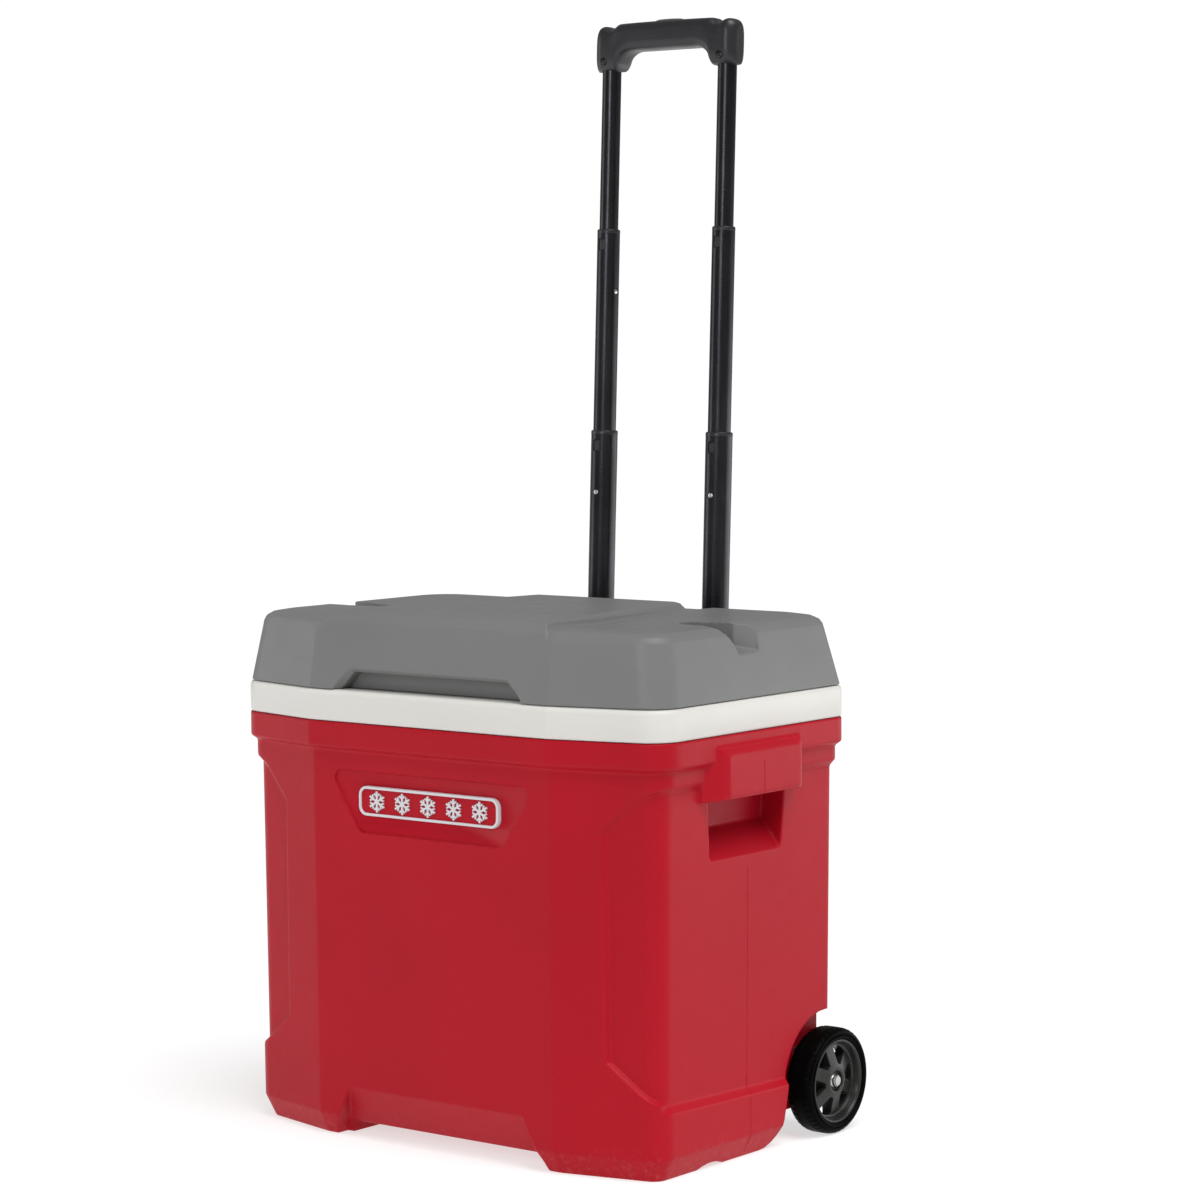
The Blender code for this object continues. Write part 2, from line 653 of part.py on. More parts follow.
def pipe(x, s0, s1, r_out, r_in, n=24):
    """Open tube as one closed skin."""
    bm = bmesh.new()
    rows = [[bm.verts.new(p) for p in ring_at(x, r, s, n)]
            for r, s in ((r_out, s0), (r_out, s1), (r_in, s1), (r_in, s0))]
    for k in range(4):
        a, b = rows[k], rows[(k + 1) % 4]
        for i in range(n):
            j = (i + 1) % n
            bm.faces.new((a[i], a[j], b[j], b[i]))
    bmesh.ops.recalc_face_normals(bm, faces=bm.faces[:])
    if bm.calc_volume(signed=True) < 0:
        bmesh.ops.reverse_faces(bm, faces=bm.faces[:])
    return leaning(bm)


def lbox(x, y, s):
    pts = [(x[0], y[0]), (x[1], y[0]), (x[1], y[1]), (x[0], y[1])]
    return leaning(loft([[Vector((a, b, t)) for a, b in pts] for t in s]))


def lrod(x, r, s0, s1, n=12, y=0.0):
    return leaning(loft([ring_at(x, r, s0, n, y), ring_at(x, r, s1, n, y)]))


def lprism(poly, y0, y1):
    """Extrude an (x, s) polygon along the local y."""
    return leaning(loft([[Vector((a, t, b)) for a, b in poly] for t in (y0, y1)]))


def cross_rod(x, s, r, direction, d0, d1, n=10):
    """Short rod set radially in a tube wall; direction is -y, +x or -x."""
    rings = []
    for d in (d0, d1):
        ring = []
        for a, b in disc(r, n):
            if direction == "-y":
                ring.append(Vector((x + a, -d, s + b)))
            else:
                k = 1 if direction == "+x" else -1
                ring.append(Vector((x + k * d, a, s + b)))
        rings.append(ring)
    return leaning(loft(rings))


for tag, side in (("right", 1), ("left", -1)):
    x = side * TUBE_X
    inner = "-x" if side > 0 else "+x"
    # fixed sleeve and its collar
    piece("outer_sleeve_" + tag, pipe(x, SLEEVE_S[0], SLEEVE_S[1], *R_SLEEVE), TUBE,
          parent="handle_axis")
    piece("sleeve_collar_" + tag, pipe(x, SLEEVE_S[1] + GAP, SLEEVE_S[1] + 0.0083, 0.0156, 0.0124),
          BLACK, parent="handle_axis")
    # three moving stages, each with a collar; a flat catch and a lock button in each outer wall
    for stage, (s0, s1), (ro, ri), empty, btn in (
            ("lower", LOWER_S, R_LOWER, "lower_stage", "-y"),
            ("middle", MIDDLE_S, R_MIDDLE, "middle_stage", inner)):
        tube = piece(stage + "_tube_" + tag, pipe(x, s0, s1 - 0.0043, ro, ri), TUBE, parent=empty)
        piece(stage + "_collar_" + tag, pipe(x, s1 - 0.0040, s1, ro + 0.0001, ri), BLACK, parent=empty)
        c0, c1 = s1 - 0.0190, s1 - 0.0085
        slot = tool(stage + "_slot_" + tag,
                    lbox((x - 0.0034, x + 0.0034), (-ro - 0.002, -ri + 0.0014), (c0, c1)), parent=empty)
        cut(tube, slot)
        piece(stage + "_catch_" + tag,
              lbox((x - 0.0031, x + 0.0031), (-ro * 0.9450, -ri * 0.985), (c0 + GAP, c1 - GAP)),
              BLACK, parent=empty)
        sb = s1 - 0.0560
        hole = tool(stage + "_hole_" + tag,
                    cross_rod(x, sb, 0.0028, btn, ri - 0.002, ro + 0.002, 14), parent=empty)
        cut(tube, hole)
        piece(stage + "_lock_button_" + tag,
              cross_rod(x, sb, 0.0025, btn, ri - 0.0001, ro - 0.00015, 14), STEEL, parent=empty)
    piece("upper_tube_" + tag, pipe(x, UPPER_S[0], UPPER_S[1], *R_UPPER), TUBE, parent="upper_stage")

# grip: a moulded bar with a socket at each end, a cover, a button and its yoke
s0, s1, s2 = GRIP_S
HALF_BAR = 0.0770
DEEP = 0.0140
under = [(0.0525, s0), (0.0518, s0 + 0.0055), (0.0495, s0 + 0.0105),
         (0.0455, s0 + 0.0145), (0.0400, s0 + 0.0165), (0.0330, s0 + 0.0172)]
bar = ([(-p[0], p[1]) for p in under] + [(p[0], p[1]) for p in reversed(under)]
       + [(HALF_BAR, s0), (HALF_BAR, s1), (-HALF_BAR, s1), (-HALF_BAR, s0)])
grip = piece("grip_body", lprism(bar, -DEEP, DEEP), BLACK, parent="upper_stage")
bev = grip.modifiers.new("soft_edges", "BEVEL")
bev.width = 0.0035
bev.segments = 2
bev.limit_method = "ANGLE"
bev.angle_limit = math.radians(50)
for tag, side in (("right", 1), ("left", -1)):
    x = side * TUBE_X
    cut(grip, tool("socket_" + tag, lrod(x, 0.0089, s0 - 0.01, UPPER_S[1] + GAP, 24), parent="upper_stage"))
    cut(grip, tool("rod_way_" + tag, lrod(x, 0.0030, UPPER_S[1] - 0.003, s1 - 0.008, 12), parent="upper_stage"))
cut(grip, tool("yoke_slot", lbox((-0.0690, 0.0690), (-0.0046, 0.0046), (0.5800, s1 + 0.005)),
               parent="upper_stage"))
cap = piece("grip_cover", leaning(loft([
    [Vector((a, b, t)) for a, b in rounded(
        [(-HALF_BAR + i, -DEEP + i), (HALF_BAR - i, -DEEP + i),
         (HALF_BAR - i, DEEP - i), (-HALF_BAR + i, DEEP - i)],
        [0.006] * 4, [3] * 4)]
    for i, t in ((0.0004, s1 + GAP), (0.0004, s1 + 0.0050), (0.0022, s1 + 0.0086), (0.0055, s2))])),
    BLACK, parent="upper_stage")


def oval(hx, hy, s, n=20):
    return [Vector((hx * math.cos(2 * math.pi * i / n), hy * math.sin(2 * math.pi * i / n), s))
            for i in range(n)]


button_way = tool("button_way", leaning(loft([oval(0.0160, 0.0068, 0.5864),
                                              oval(0.0160, 0.0068, s2 + 0.004)])),
                  parent="upper_stage")
cut(cap, button_way)
cut(grip, button_way)
piece("grip_button", leaning(loft([oval(0.0155, 0.0063, 0.5908), oval(0.0155, 0.0063, s2 - 0.0003),
                                   oval(0.0147, 0.0056, s2 + 0.0009), oval(0.0110, 0.0036, s2 + 0.0014)])),
      colour("grip_button", (0.10, 0.10, 0.105), 0.40), parent="button_axis")
yoke = piece("release_yoke", lbox((-0.0674, 0.0674), (-0.0030, 0.0030), (0.5845, 0.5905)),
             BLACK, parent="button_axis")
for tag, side in (("right", 1), ("left", -1)):
    x = side * TUBE_X
    join(yoke, tool("yoke_rod_" + tag, lrod(x, 0.0020, 0.4000, 0.5870, 10), parent="button_axis"))
    hole = tool("grip_hole_" + tag, leaning(loft([
        [Vector((x + a, t, s0 + 0.0085 + b)) for a, b in disc(r, 12)]
        for t, r in ((-0.0200, 0.0034), (-0.0118, 0.0034), (-0.0116, 0.0017), (-0.0050, 0.0017))])),
        parent="upper_stage")
    cut(grip, hole)
    cut(bpy.data.objects["upper_tube_" + tag], hole)
    piece("grip_screw_" + tag, leaning(loft([
        [Vector((x + a, t, s0 + 0.0085 + b)) for a, b in disc(r, 12)]
        for t, r in ((-0.0134, 0.0018), (-0.0130, 0.0029), (-0.0121, 0.0029), (-0.0119, 0.0014), (-0.0060, 0.0014))])),
        STEEL, parent="upper_stage")

# --------------------------------------------- bracket and axle carrier, rear
bracket = piece("handle_bracket", box((-0.0920, 0.0920), (0.2849, 0.3350), (0.3000, 0.3330)),
                BLACK, loc=at(0, 0.31, 0.3165))
bv = bracket.modifiers.new("soft_edges", "BEVEL")
bv.width = 0.003
bv.segments = 1
join(bracket, tool("bracket_ears", box((-0.1130, 0.1130), (0.2849, 0.2899), (0.3048, 0.3282))))
carrier = piece("axle_carrier", prism([(0.2455, 0.0240), (0.2880, 0.0240), (0.2900, 0.0260),
                                       (0.2900, 0.0725), (0.2455, 0.0725)], "X", -0.2005, 0.2005),
                BLACK, loc=at(0, WHEEL_Y, WHEEL_R))
join(carrier, tool("sleeve_block", prism([(0.2800, 0.0300), (0.3150, 0.0300), (0.3230, 0.0400),
                                          (0.3230, 0.0900), (0.2900, 0.0900), (0.2850, 0.0700),
                                          (0.2800, 0.0700)], "X", -0.0900, 0.0900)))
for tag, side in (("right", 1), ("left", -1)):
    x = side * TUBE_X
    way = tool("sleeve_way_" + tag, lrod(x, 0.0144, SLEEVE_S[0] - GAP, 0.05, 24))
    cut(bracket, way)
    cut(carrier, way)
cut(carrier, tool("axle_way", rod("X", (WHEEL_Y, WHEEL_R), AXLE_R + GAP, -0.25, 0.25, 16)))
for tag, side in (("right", 1), ("left", -1)):
    hole = tool("bracket_hole_" + tag, rod("Y", (side * 0.1030, 0.3165), 0.0022, 0.2740, 0.3000, 12))
    cut(bracket, hole)
    cut(shell, hole)
    cut(foam, hole)
    piece("bracket_screw_" + tag, screw("Y", side * 0.1030, 0.3165, 0.2902, 1, 0.0042, 0.0022, 0.0019, 0.0150),
          STEEL, loc=at(side * 0.1030, 0.2902, 0.3165))
    hole = tool("carrier_hole_" + tag, rod("Y", (side * 0.1500, 0.0600), 0.0022, 0.2340, 0.3000, 12))
    cut(carrier, hole)
    cut(shell, hole)
    cut(foam, hole)
    piece("carrier_screw_" + tag, screw("Y", side * 0.1500, 0.0600, 0.2903, 1, 0.0042, 0.0022, 0.0019, 0.0545),
          STEEL, loc=at(side * 0.1500, 0.2903, 0.0600))

# ------------------------------------------------------------ axle and wheels
piece("axle", rod("X", (WHEEL_Y, WHEEL_R), AXLE_R, -0.2302, 0.2302, 16), STEEL,
      loc=at(0, WHEEL_Y, WHEEL_R))
for tag, side in (("right", 1), ("left", -1)):
    name = "wheel_axis_" + tag
    pivot(name, at(side * 0.2195, WHEEL_Y, WHEEL_R))
    c = (WHEEL_Y, WHEEL_R)
    a, b = WHEEL_X
    tyre = turned(c, [(a + 0.0010, 0.0360), (b - 0.0010, 0.0360), (b, 0.0372), (b, 0.0405),
                      (b - 0.0012, 0.0437), (b - 0.0040, WHEEL_R), (a + 0.0040, WHEEL_R),
                      (a, 0.0425)], 36)
    # hub: rim, web and boss, with a counterbore for the push cap
    hub = turned(c, [(a + 0.0020, 0.0357), (a + 0.0020, 0.0325), (a + 0.0080, 0.0318),
                     (a + 0.0080, 0.0120), (0.2008, 0.0110), (0.2008, AXLE_R + 0.0004),
                     (0.2252, AXLE_R + 0.0004), (0.2252, 0.0085),
                     (b - 0.0025, 0.0092), (b - 0.0025, 0.0112), (b - 0.0080, 0.0135), (b - 0.0080, 0.0320),
                     (b - 0.0015, 0.0340), (b - 0.0015, 0.0357)], 24)
    cap_ = turned(c, [(0.2255, 0.0043), (0.2255, 0.0060), (0.2280, 0.0060), (0.2296, 0.0052),
                      (0.2296, 0.0043)], 20)
    for bm_, nm, mt, par in ((tyre, "wheel_tyre_", TYRE, name), (hub, "wheel_hub_", BLACK, name),
                             (cap_, "push_cap_", STEEL, None)):
        if side < 0:
            old = bm_
            bm_ = mirrored(old)
            old.free()
        ob = piece(nm + tag, bm_, mt, parent=par,
                   loc=None if par else at(side * 0.2276, WHEEL_Y, WHEEL_R))
        if nm == "wheel_hub_":
            for k in range(6):
                t0 = math.radians(60 * k + 90)
                pts = []
                for rr, dt in ((0.0150, -0.22), (0.0300, -0.36), (0.0300, 0.36), (0.0150, 0.22)):
                    pts.append((c[0] + rr * math.cos(t0 + dt), c[1] + rr * math.sin(t0 + dt)))
                w = prism(pts, "X", 0.2100, 0.2400) if side > 0 else prism(pts, "X", -0.2400, -0.2100)
                cut(ob, tool("hub_window_%s_%d" % (tag, k), w, parent=name))

# -------------------------------------------------------------------- badge
badge_pts = rounded([(-0.0760, 0.2800), (0.0760, 0.2800), (0.0760, 0.3050), (-0.0760, 0.3050)],
                    [0.0080] * 4, [4] * 4)
inner_pts = rounded([(-0.0745, 0.2815), (0.0745, 0.2815), (0.0745, 0.3035), (-0.0745, 0.3035)],
                    [0.0070] * 4, [4] * 4)
piece("front_badge", loft([[at(x, 0.0075, z) for x, z in badge_pts],
                           [at(x, 0.0047, z) for x, z in badge_pts],
                           [at(x, 0.0035, z) for x, z in inner_pts]]),
      WHITE, loc=at(0, 0.0075, 0.2925))
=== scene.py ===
import json
import math

import bmesh
import bpy
from mathutils import Matrix, Vector
from mathutils.bvhtree import BVHTree

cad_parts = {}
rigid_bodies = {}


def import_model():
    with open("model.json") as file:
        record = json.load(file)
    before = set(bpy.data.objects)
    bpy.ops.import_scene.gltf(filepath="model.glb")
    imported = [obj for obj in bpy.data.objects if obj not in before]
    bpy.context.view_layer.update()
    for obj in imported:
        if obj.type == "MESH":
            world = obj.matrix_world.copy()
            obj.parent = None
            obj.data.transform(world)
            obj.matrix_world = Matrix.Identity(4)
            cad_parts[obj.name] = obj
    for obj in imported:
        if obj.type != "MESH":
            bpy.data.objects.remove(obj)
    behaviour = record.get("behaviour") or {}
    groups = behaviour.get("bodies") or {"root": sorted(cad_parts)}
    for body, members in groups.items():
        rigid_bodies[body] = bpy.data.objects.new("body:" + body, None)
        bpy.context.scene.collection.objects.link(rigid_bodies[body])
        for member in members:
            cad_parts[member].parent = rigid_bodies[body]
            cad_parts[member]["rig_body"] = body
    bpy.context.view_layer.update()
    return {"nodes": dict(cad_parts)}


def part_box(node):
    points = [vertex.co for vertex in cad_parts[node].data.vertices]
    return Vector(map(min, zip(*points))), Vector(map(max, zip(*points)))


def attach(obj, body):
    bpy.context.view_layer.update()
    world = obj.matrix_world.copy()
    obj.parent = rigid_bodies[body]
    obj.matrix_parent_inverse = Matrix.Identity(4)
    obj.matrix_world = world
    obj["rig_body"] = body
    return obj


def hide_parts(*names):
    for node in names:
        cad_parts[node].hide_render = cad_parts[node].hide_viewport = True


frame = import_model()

NODES = frame["nodes"]
scene = bpy.context.scene

# ------------------------------------------------------------- what CAD says
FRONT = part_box("body_shell")[0].y          # front face of the rim
RIM_HALF_W = 0.230
FACET_HALF = 0.129
CORNER_Y = 0.0245
RIM_DEPTH = 0.290
Z_BELLY = 0.010
Z_RIM_LOW = 0.3361
Z_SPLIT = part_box("inner_liner")[1].z - 0.0268
Z_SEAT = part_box("inner_liner")[1].z
Z_SHOULDER = 0.4370
Z_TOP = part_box("lid_shell")[1].z
GAP = 0.0003
WALL = 0.003
RIM_STEP = 0.0055
PANEL = 0.0045
GRIP_Y = (0.1030, 0.2085)
GRIP_Z = (0.3040, 0.3495)
GRIP_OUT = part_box("body_shell")[1].x - 0.0004
SCOOP_Y = (0.0975, 0.2075)
CUP_Y = (0.0360, 0.2385)
CUP_HALF = 0.1925
HANDLE = Matrix.Translation(Vector((0, 0.3190 + FRONT, Z_SPLIT))) @ \
    Matrix.Rotation(-math.atan(0.0441), 4, "X")
TUBE_X = 0.0641
WHEEL_Y, WHEEL_Z = 0.2700, 0.0455


def at(x, y, z):
    """Frame coordinates of a point whose y is measured back from the rim's front."""
    return Vector((x, y + FRONT, z))


# ------------------------------------------------------------------ materials
def link(t, a, b):
    t.links.new(a, b)


def node(t, kind, **vals):
    n = t.nodes.new(kind)
    for k, v in vals.items():
        if k in n.inputs:
            n.inputs[k].default_value = v
        else:
            setattr(n, k, v)
    return n


def math_node(t, op, a, b=None, clamp=False):
    n = t.nodes.new("ShaderNodeMath")
    n.operation = op
    n.use_clamp = clamp
    for i, v in enumerate((a, b)):
        if v is None:
            continue
        if isinstance(v, (int, float)):
            n.inputs[i].default_value = v
        else:
            link(t, v, n.inputs[i])
    return n.outputs[0]


def ramp(t, fac, lo, hi, a=0.0, b=1.0):
    n = t.nodes.new("ShaderNodeMapRange")
    n.inputs["From Min"].default_value = lo
    n.inputs["From Max"].default_value = hi
    n.inputs["To Min"].default_value = a
    n.inputs["To Max"].default_value = b
    link(t, fac, n.inputs["Value"])
    return n.outputs["Result"]


def mix_colour(t, fac, a, b):
    n = t.nodes.new("ShaderNodeMix")
    n.data_type = "RGBA"
    link(t, fac, n.inputs[0])
    for sock, v in ((n.inputs[6], a), (n.inputs[7], b)):
        if isinstance(v, tuple):
            sock.default_value = v + (1.0,)
        else:
            link(t, v, sock)
    return n.outputs[2]


def start(name):
    m = bpy.data.materials.new(name)
    m.use_nodes = True
    t = m.node_tree
    b = t.nodes["Principled BSDF"]
    c = t.nodes.new("ShaderNodeTexCoord")
    return m, t, b, c.outputs["Object"]


def noise(t, co, scale, detail=2.0, rough=0.5):
    n = node(t, "ShaderNodeTexNoise", Scale=scale, Detail=detail, Roughness=rough)
    link(t, co, n.inputs["Vector"])
    return n.outputs["Fac"]


def bump(t, b, height, strength, distance, before=None):
    n = node(t, "ShaderNodeBump", Strength=strength, Distance=distance)
    link(t, height, n.inputs["Height"])
    if before is not None:
        link(t, before, n.inputs["Normal"])
    link(t, n.outputs["Normal"], b.inputs["Normal"])
    return n.outputs["Normal"]


def darker(c, k):
    return tuple(x * k for x in c)


def moulded(name, colour, rough, grain=0.00012, pale=(0.6, 0.6, 0.6), scuffs=0.0, seam=False,
            spread=0.10, spec=0.5, grain_scale=900.0):
    """Moulded plastic: spark-eroded grain, slow colour drift, a little rubbing on the low parts."""
    m, t, b, co = start(name)
    slow = noise(t, co, 7.0, 3.0)
    mid = noise(t, co, 60.0, 4.0, 0.6)
    fine = noise(t, co, grain_scale, 2.0, 0.6)
    col = mix_colour(t, ramp(t, slow, 0.35, 0.65), darker(colour, 1 - spread), darker(colour, 1 + spread * 0.5))
    speck = ramp(t, fine, 0.30, 0.70, 0.0, 0.10)
    col = mix_colour(t, speck, col, tuple(min(1.0, x * 1.25 + 0.02) for x in colour))
    if scuffs:
        sep = t.nodes.new("ShaderNodeSeparateXYZ")
        link(t, co, sep.inputs[0])
        low = ramp(t, sep.outputs["Z"], 0.030, 0.0, 0.0, 1.0)
        rub = noise(t, co, 160.0, 5.0, 0.75)
        mask = math_node(t, "MULTIPLY", ramp(t, rub, 0.52, 0.70), low, True)
        mask = math_node(t, "MULTIPLY", mask, scuffs)
        col = mix_colour(t, mask, col, pale)
    link(t, col, b.inputs["Base Color"])
    r = math_node(t, "ADD", ramp(t, mid, 0.3, 0.7, rough - 0.05, rough + 0.05),
                  ramp(t, fine, 0.3, 0.7, -0.03, 0.03))
    link(t, r, b.inputs["Roughness"])
    b.inputs["Specular IOR Level"].default_value = spec
    n1 = bump(t, b, fine, 0.55, grain)
    if seam:
        # the line where the two halves of the mould met, on both sides
        sep = t.nodes.new("ShaderNodeSeparateXYZ")
        link(t, co, sep.inputs[0])
        d = math_node(t, "ABSOLUTE", math_node(t, "SUBTRACT", sep.outputs["Y"], 0.174 + FRONT))
        line = ramp(t, d, 0.0, 0.0007, 1.0, 0.0)
        out = ramp(t, math_node(t, "ABSOLUTE", sep.outputs["X"]), 0.2150, 0.2200)
        keep = ramp(t, sep.outputs["Z"], 0.300, 0.298)
        h = math_node(t, "MULTIPLY", math_node(t, "MULTIPLY", line, out), keep)
        bump(t, b, h, 0.45, 0.00025, n1)
    return m


def metal_tube(name, colour, rough, metallic):
    """Painted or anodised tube: fine lengthwise draw lines and faint rubbed streaks."""
    m, t, b, co = start(name)
    stretch = node(t, "ShaderNodeMapping")
    stretch.inputs["Scale"].default_value = (900.0, 900.0, 6.0)
    link(t, co, stretch.inputs["Vector"])
    lines = noise(t, stretch.outputs[0], 1.0, 3.0, 0.6)
    slow = noise(t, co, 18.0, 3.0)
    col = mix_colour(t, ramp(t, slow, 0.3, 0.7), darker(colour, 0.85), darker(colour, 1.25))
    streak = ramp(t, lines, 0.62, 0.80, 0.0, 0.25)
    col = mix_colour(t, streak, col, tuple(min(1, x * 2.2 + 0.02) for x in colour))
    link(t, col, b.inputs["Base Color"])
    link(t, ramp(t, lines, 0.3, 0.7, rough - 0.06, rough + 0.06), b.inputs["Roughness"])
    b.inputs["Metallic"].default_value = metallic
    bump(t, b, lines, 0.25, 0.00005)
    return m


def bare_steel(name, colour, rough):
    m, t, b, co = start(name)
    n = noise(t, co, 1400.0, 3.0, 0.6)
    s = noise(t, co, 90.0, 4.0, 0.6)
    link(t, mix_colour(t, ramp(t, s, 0.3, 0.7), darker(colour, 0.8), colour), b.inputs["Base Color"])
    link(t, ramp(t, s, 0.3, 0.7, rough - 0.08, rough + 0.10), b.inputs["Roughness"])
    b.inputs["Metallic"].default_value = 1.0
    bump(t, b, n, 0.3, 0.00004)
    return m


def rubber(name, colour, rough):
    m, t, b, co = start(name)
    n = noise(t, co, 1100.0, 3.0, 0.7)
    dust = noise(t, co, 70.0, 5.0, 0.7)
    col = mix_colour(t, ramp(t, dust, 0.50, 0.80, 0.0, 0.20), colour, (0.010, 0.0095, 0.0085))
    link(t, col, b.inputs["Base Color"])
    link(t, ramp(t, dust, 0.3, 0.7, rough - 0.08, rough + 0.08), b.inputs["Roughness"])
    b.inputs["Specular IOR Level"].default_value = 0.02
    bump(t, b, n, 0.4, 0.00006)
    return m


def foam_look(name, colour):
    m, t, b, co = start(name)
    v = node(t, "ShaderNodeTexVoronoi", Scale=650.0)
    link(t, co, v.inputs["Vector"])
    link(t, mix_colour(t, ramp(t, v.outputs["Distance"], 0.0, 0.7), darker(colour, 0.7), colour),
         b.inputs["Base Color"])
    b.inputs["Roughness"].default_value = 0.95
    bump(t, b, v.outputs["Distance"], 0.6, 0.0004)
    return m


M = {
    "red": moulded("red_moulded_plastic", (0.400, 0.0035, 0.0135), 0.40, grain=0.00018,
                   pale=(0.55, 0.20, 0.20), scuffs=0.25, spread=0.05, spec=0.13),
    "white": moulded("white_moulded_plastic", (0.68, 0.667, 0.632), 0.38, grain=0.00004, spread=0.03, spec=0.3),
    "grey": moulded("grey_moulded_plastic", (0.172, 0.176, 0.172), 0.42, grain=0.00018,
                    spread=0.05, pale=(0.4, 0.4, 0.4), spec=0.28),
    "black": moulded("black_moulded_plastic", (0.0122, 0.0110, 0.0145), 0.38, grain=0.00008, spread=0.15),
    "hub": moulded("hub_moulded_plastic", (0.0180, 0.0180, 0.0170), 0.30, grain=0.00005, spread=0.12, spec=0.32),
    "button": moulded("button_moulded_plastic", (0.085, 0.090, 0.090), 0.30, grain=0.00003, spread=0.06),
    "badge": moulded("badge_plastic", (0.62, 0.63, 0.66), 0.35, grain=0.00003, spread=0.03),
    "tube": metal_tube("black_painted_tube", (0.0340, 0.0332, 0.0370), 0.26, 0.94),
    "steel": bare_steel("zinc_plated_steel", (0.58, 0.58, 0.57), 0.30),
    "dark_steel": bare_steel("blackened_steel", (0.055, 0.055, 0.060), 0.38),
    "tyre": rubber("tyre_rubber", (0.0018, 0.0017, 0.0016), 0.34),
    "foam": foam_look("insulating_foam", (0.80, 0.68, 0.42)),
}

# --------------------------------------------------------------- mesh helpers
work = []


def new_object(name, mesh):
    o = bpy.data.objects.new(name, mesh)
    scene.collection.objects.link(o)
    return o


def from_bm(name, bm):
    me = bpy.data.meshes.new(name)
    bm.to_mesh(me)
    bm.free()
    o = new_object(name, me)
    work.append(o)
    return o


def shrink(poly, d):
    """Move every side of a counter-clockwise polygon inwards by d."""
    n = len(poly)
    out = []
    for i in range(n):
        p, c, q = Vector(poly[i - 1]), Vector(poly[i]), Vector(poly[(i + 1) % n])
        e1, e2 = (c - p).normalized(), (q - c).normalized()
        n1, n2 = Vector((-e1.y, e1.x)), Vector((-e2.y, e2.x))
        out.append(tuple(c + (n1 + n2) * (d / (1.0 + n1.dot(n2)))))
    return out


def rounded(poly, radii, segs):
    n = len(poly)
    out = []
    for i in range(n):
        c = Vector(poly[i])
        a = (Vector(poly[i - 1]) - c).normalized()
        b = (Vector(poly[(i + 1) % n]) - c).normalized()
        half = math.acos(max(-1.0, min(1.0, a.dot(b)))) / 2.0
        r = max(radii[i], 0.0004)
        mid = c + (a + b).normalized() * (r / math.sin(half))
        v1 = c + a * (r / math.tan(half)) - mid
        v2 = c + b * (r / math.tan(half)) - mid
        a1, a2 = math.atan2(v1.y, v1.x), math.atan2(v2.y, v2.x)
        da = (a2 - a1 + math.pi) % (2 * math.pi) - math.pi
        for k in range(segs[i] + 1):
            an = a1 + da * k / segs[i]
            out.append((mid.x + r * math.cos(an), mid.y + r * math.sin(an)))
    return out


RIM = [(-FACET_HALF, 0.0), (FACET_HALF, 0.0), (RIM_HALF_W, CORNER_Y),
       (RIM_HALF_W, RIM_DEPTH), (-RIM_HALF_W, RIM_DEPTH), (-RIM_HALF_W, CORNER_Y)]
SEGS = [3, 3, 14, 10, 10, 14]


def rim_ring(inset, z, rf=0.030, rr=0.020):
    p = shrink(RIM, inset)
    r1, r2 = max(rf - inset, 0.004), max(rr - inset, 0.004)
    pts = rounded(p, [0.012, 0.012, r1, r2, r2, r1], SEGS)
    if callable(z):
        return [at(x, y, z(y)) for x, y in pts]
    return [at(x, y, z) for x, y in pts]


def cup_ring(inset, z, r=0.026):
    y1, y2 = CUP_Y
    p = shrink([(-0.118, y1), (0.118, y1), (CUP_HALF, y1 + 0.018), (CUP_HALF, y2),
                (-CUP_HALF, y2), (-CUP_HALF, y1 + 0.018)], inset)
    r = max(r - inset, 0.006)
    return [at(x, y, z) for x, y in rounded(p, [0.012, 0.012, r, r, r, r], SEGS)]


def loft_bm(rings, closed=False):
    bm = bmesh.new()
    rows = [[bm.verts.new(p) for p in ring] for ring in rings]
    n = len(rows[0])
    pairs = list(zip(rows, rows[1:]))
    if closed:
        pairs.append((rows[-1], rows[0]))
    for a, b in pairs:
        for i in range(n):
            j = (i + 1) % n
            bm.faces.new((a[i], a[j], b[j], b[i]))
    if not closed:
        bm.faces.new(list(reversed(rows[0])))
        bm.faces.new(rows[-1])
    bmesh.ops.recalc_face_normals(bm, faces=bm.faces[:])
    if bm.calc_volume(signed=True) < 0:
        bmesh.ops.reverse_faces(bm, faces=bm.faces[:])
    return bm


def loft(rings, name="form"):
    return from_bm(name, loft_bm(rings))


def mirror_x(o):
    """The same form on the other side."""
    me = o.data.copy()
    me.transform(Matrix.Scale(-1, 4, Vector((1, 0, 0))))
    me.flip_normals()
    c = new_object(o.name + "_m", me)
    work.append(c)
    return c


def both(o):
    return [o, mirror_x(o)]


def prism(poly, axis, lo, hi):
    def put(p, v):
        return {"X": lambda: at(v, p[0], p[1]), "Y": lambda: at(p[0], v, p[1]),
                "Z": lambda: at(p[0], p[1], v)}[axis]()
    return loft([[put(p, lo) for p in poly], [put(p, hi) for p in poly]])


def block(x, y, z):
    return prism([(x[0], y[0]), (x[1], y[0]), (x[1], y[1]), (x[0], y[1])], "Z", z[0], z[1])


def disc(r, n, phase=0.0):
    return [(r * math.cos(2 * math.pi * (i + phase) / n), r * math.sin(2 * math.pi * (i + phase) / n))
            for i in range(n)]


def rod(axis, c, r, lo, hi, n=48):
    return prism([(c[0] + a, c[1] + b) for a, b in disc(r, n)], axis, lo, hi)


def bake(o):
    """Replace an object's mesh by what its modifiers make of it."""
    dg = bpy.context.evaluated_depsgraph_get()
    me = bpy.data.meshes.new_from_object(o.evaluated_get(dg), depsgraph=dg)
    o.modifiers.clear()
    old = o.data
    o.data = me
    if old.users == 0:
        bpy.data.meshes.remove(old)
    return o


def boolean(o, others, how="DIFFERENCE"):
    for k in others:
        m = o.modifiers.new("b", "BOOLEAN")
        m.operation = how
        m.object = k
        m.solver = "MANIFOLD"
    return bake(o)


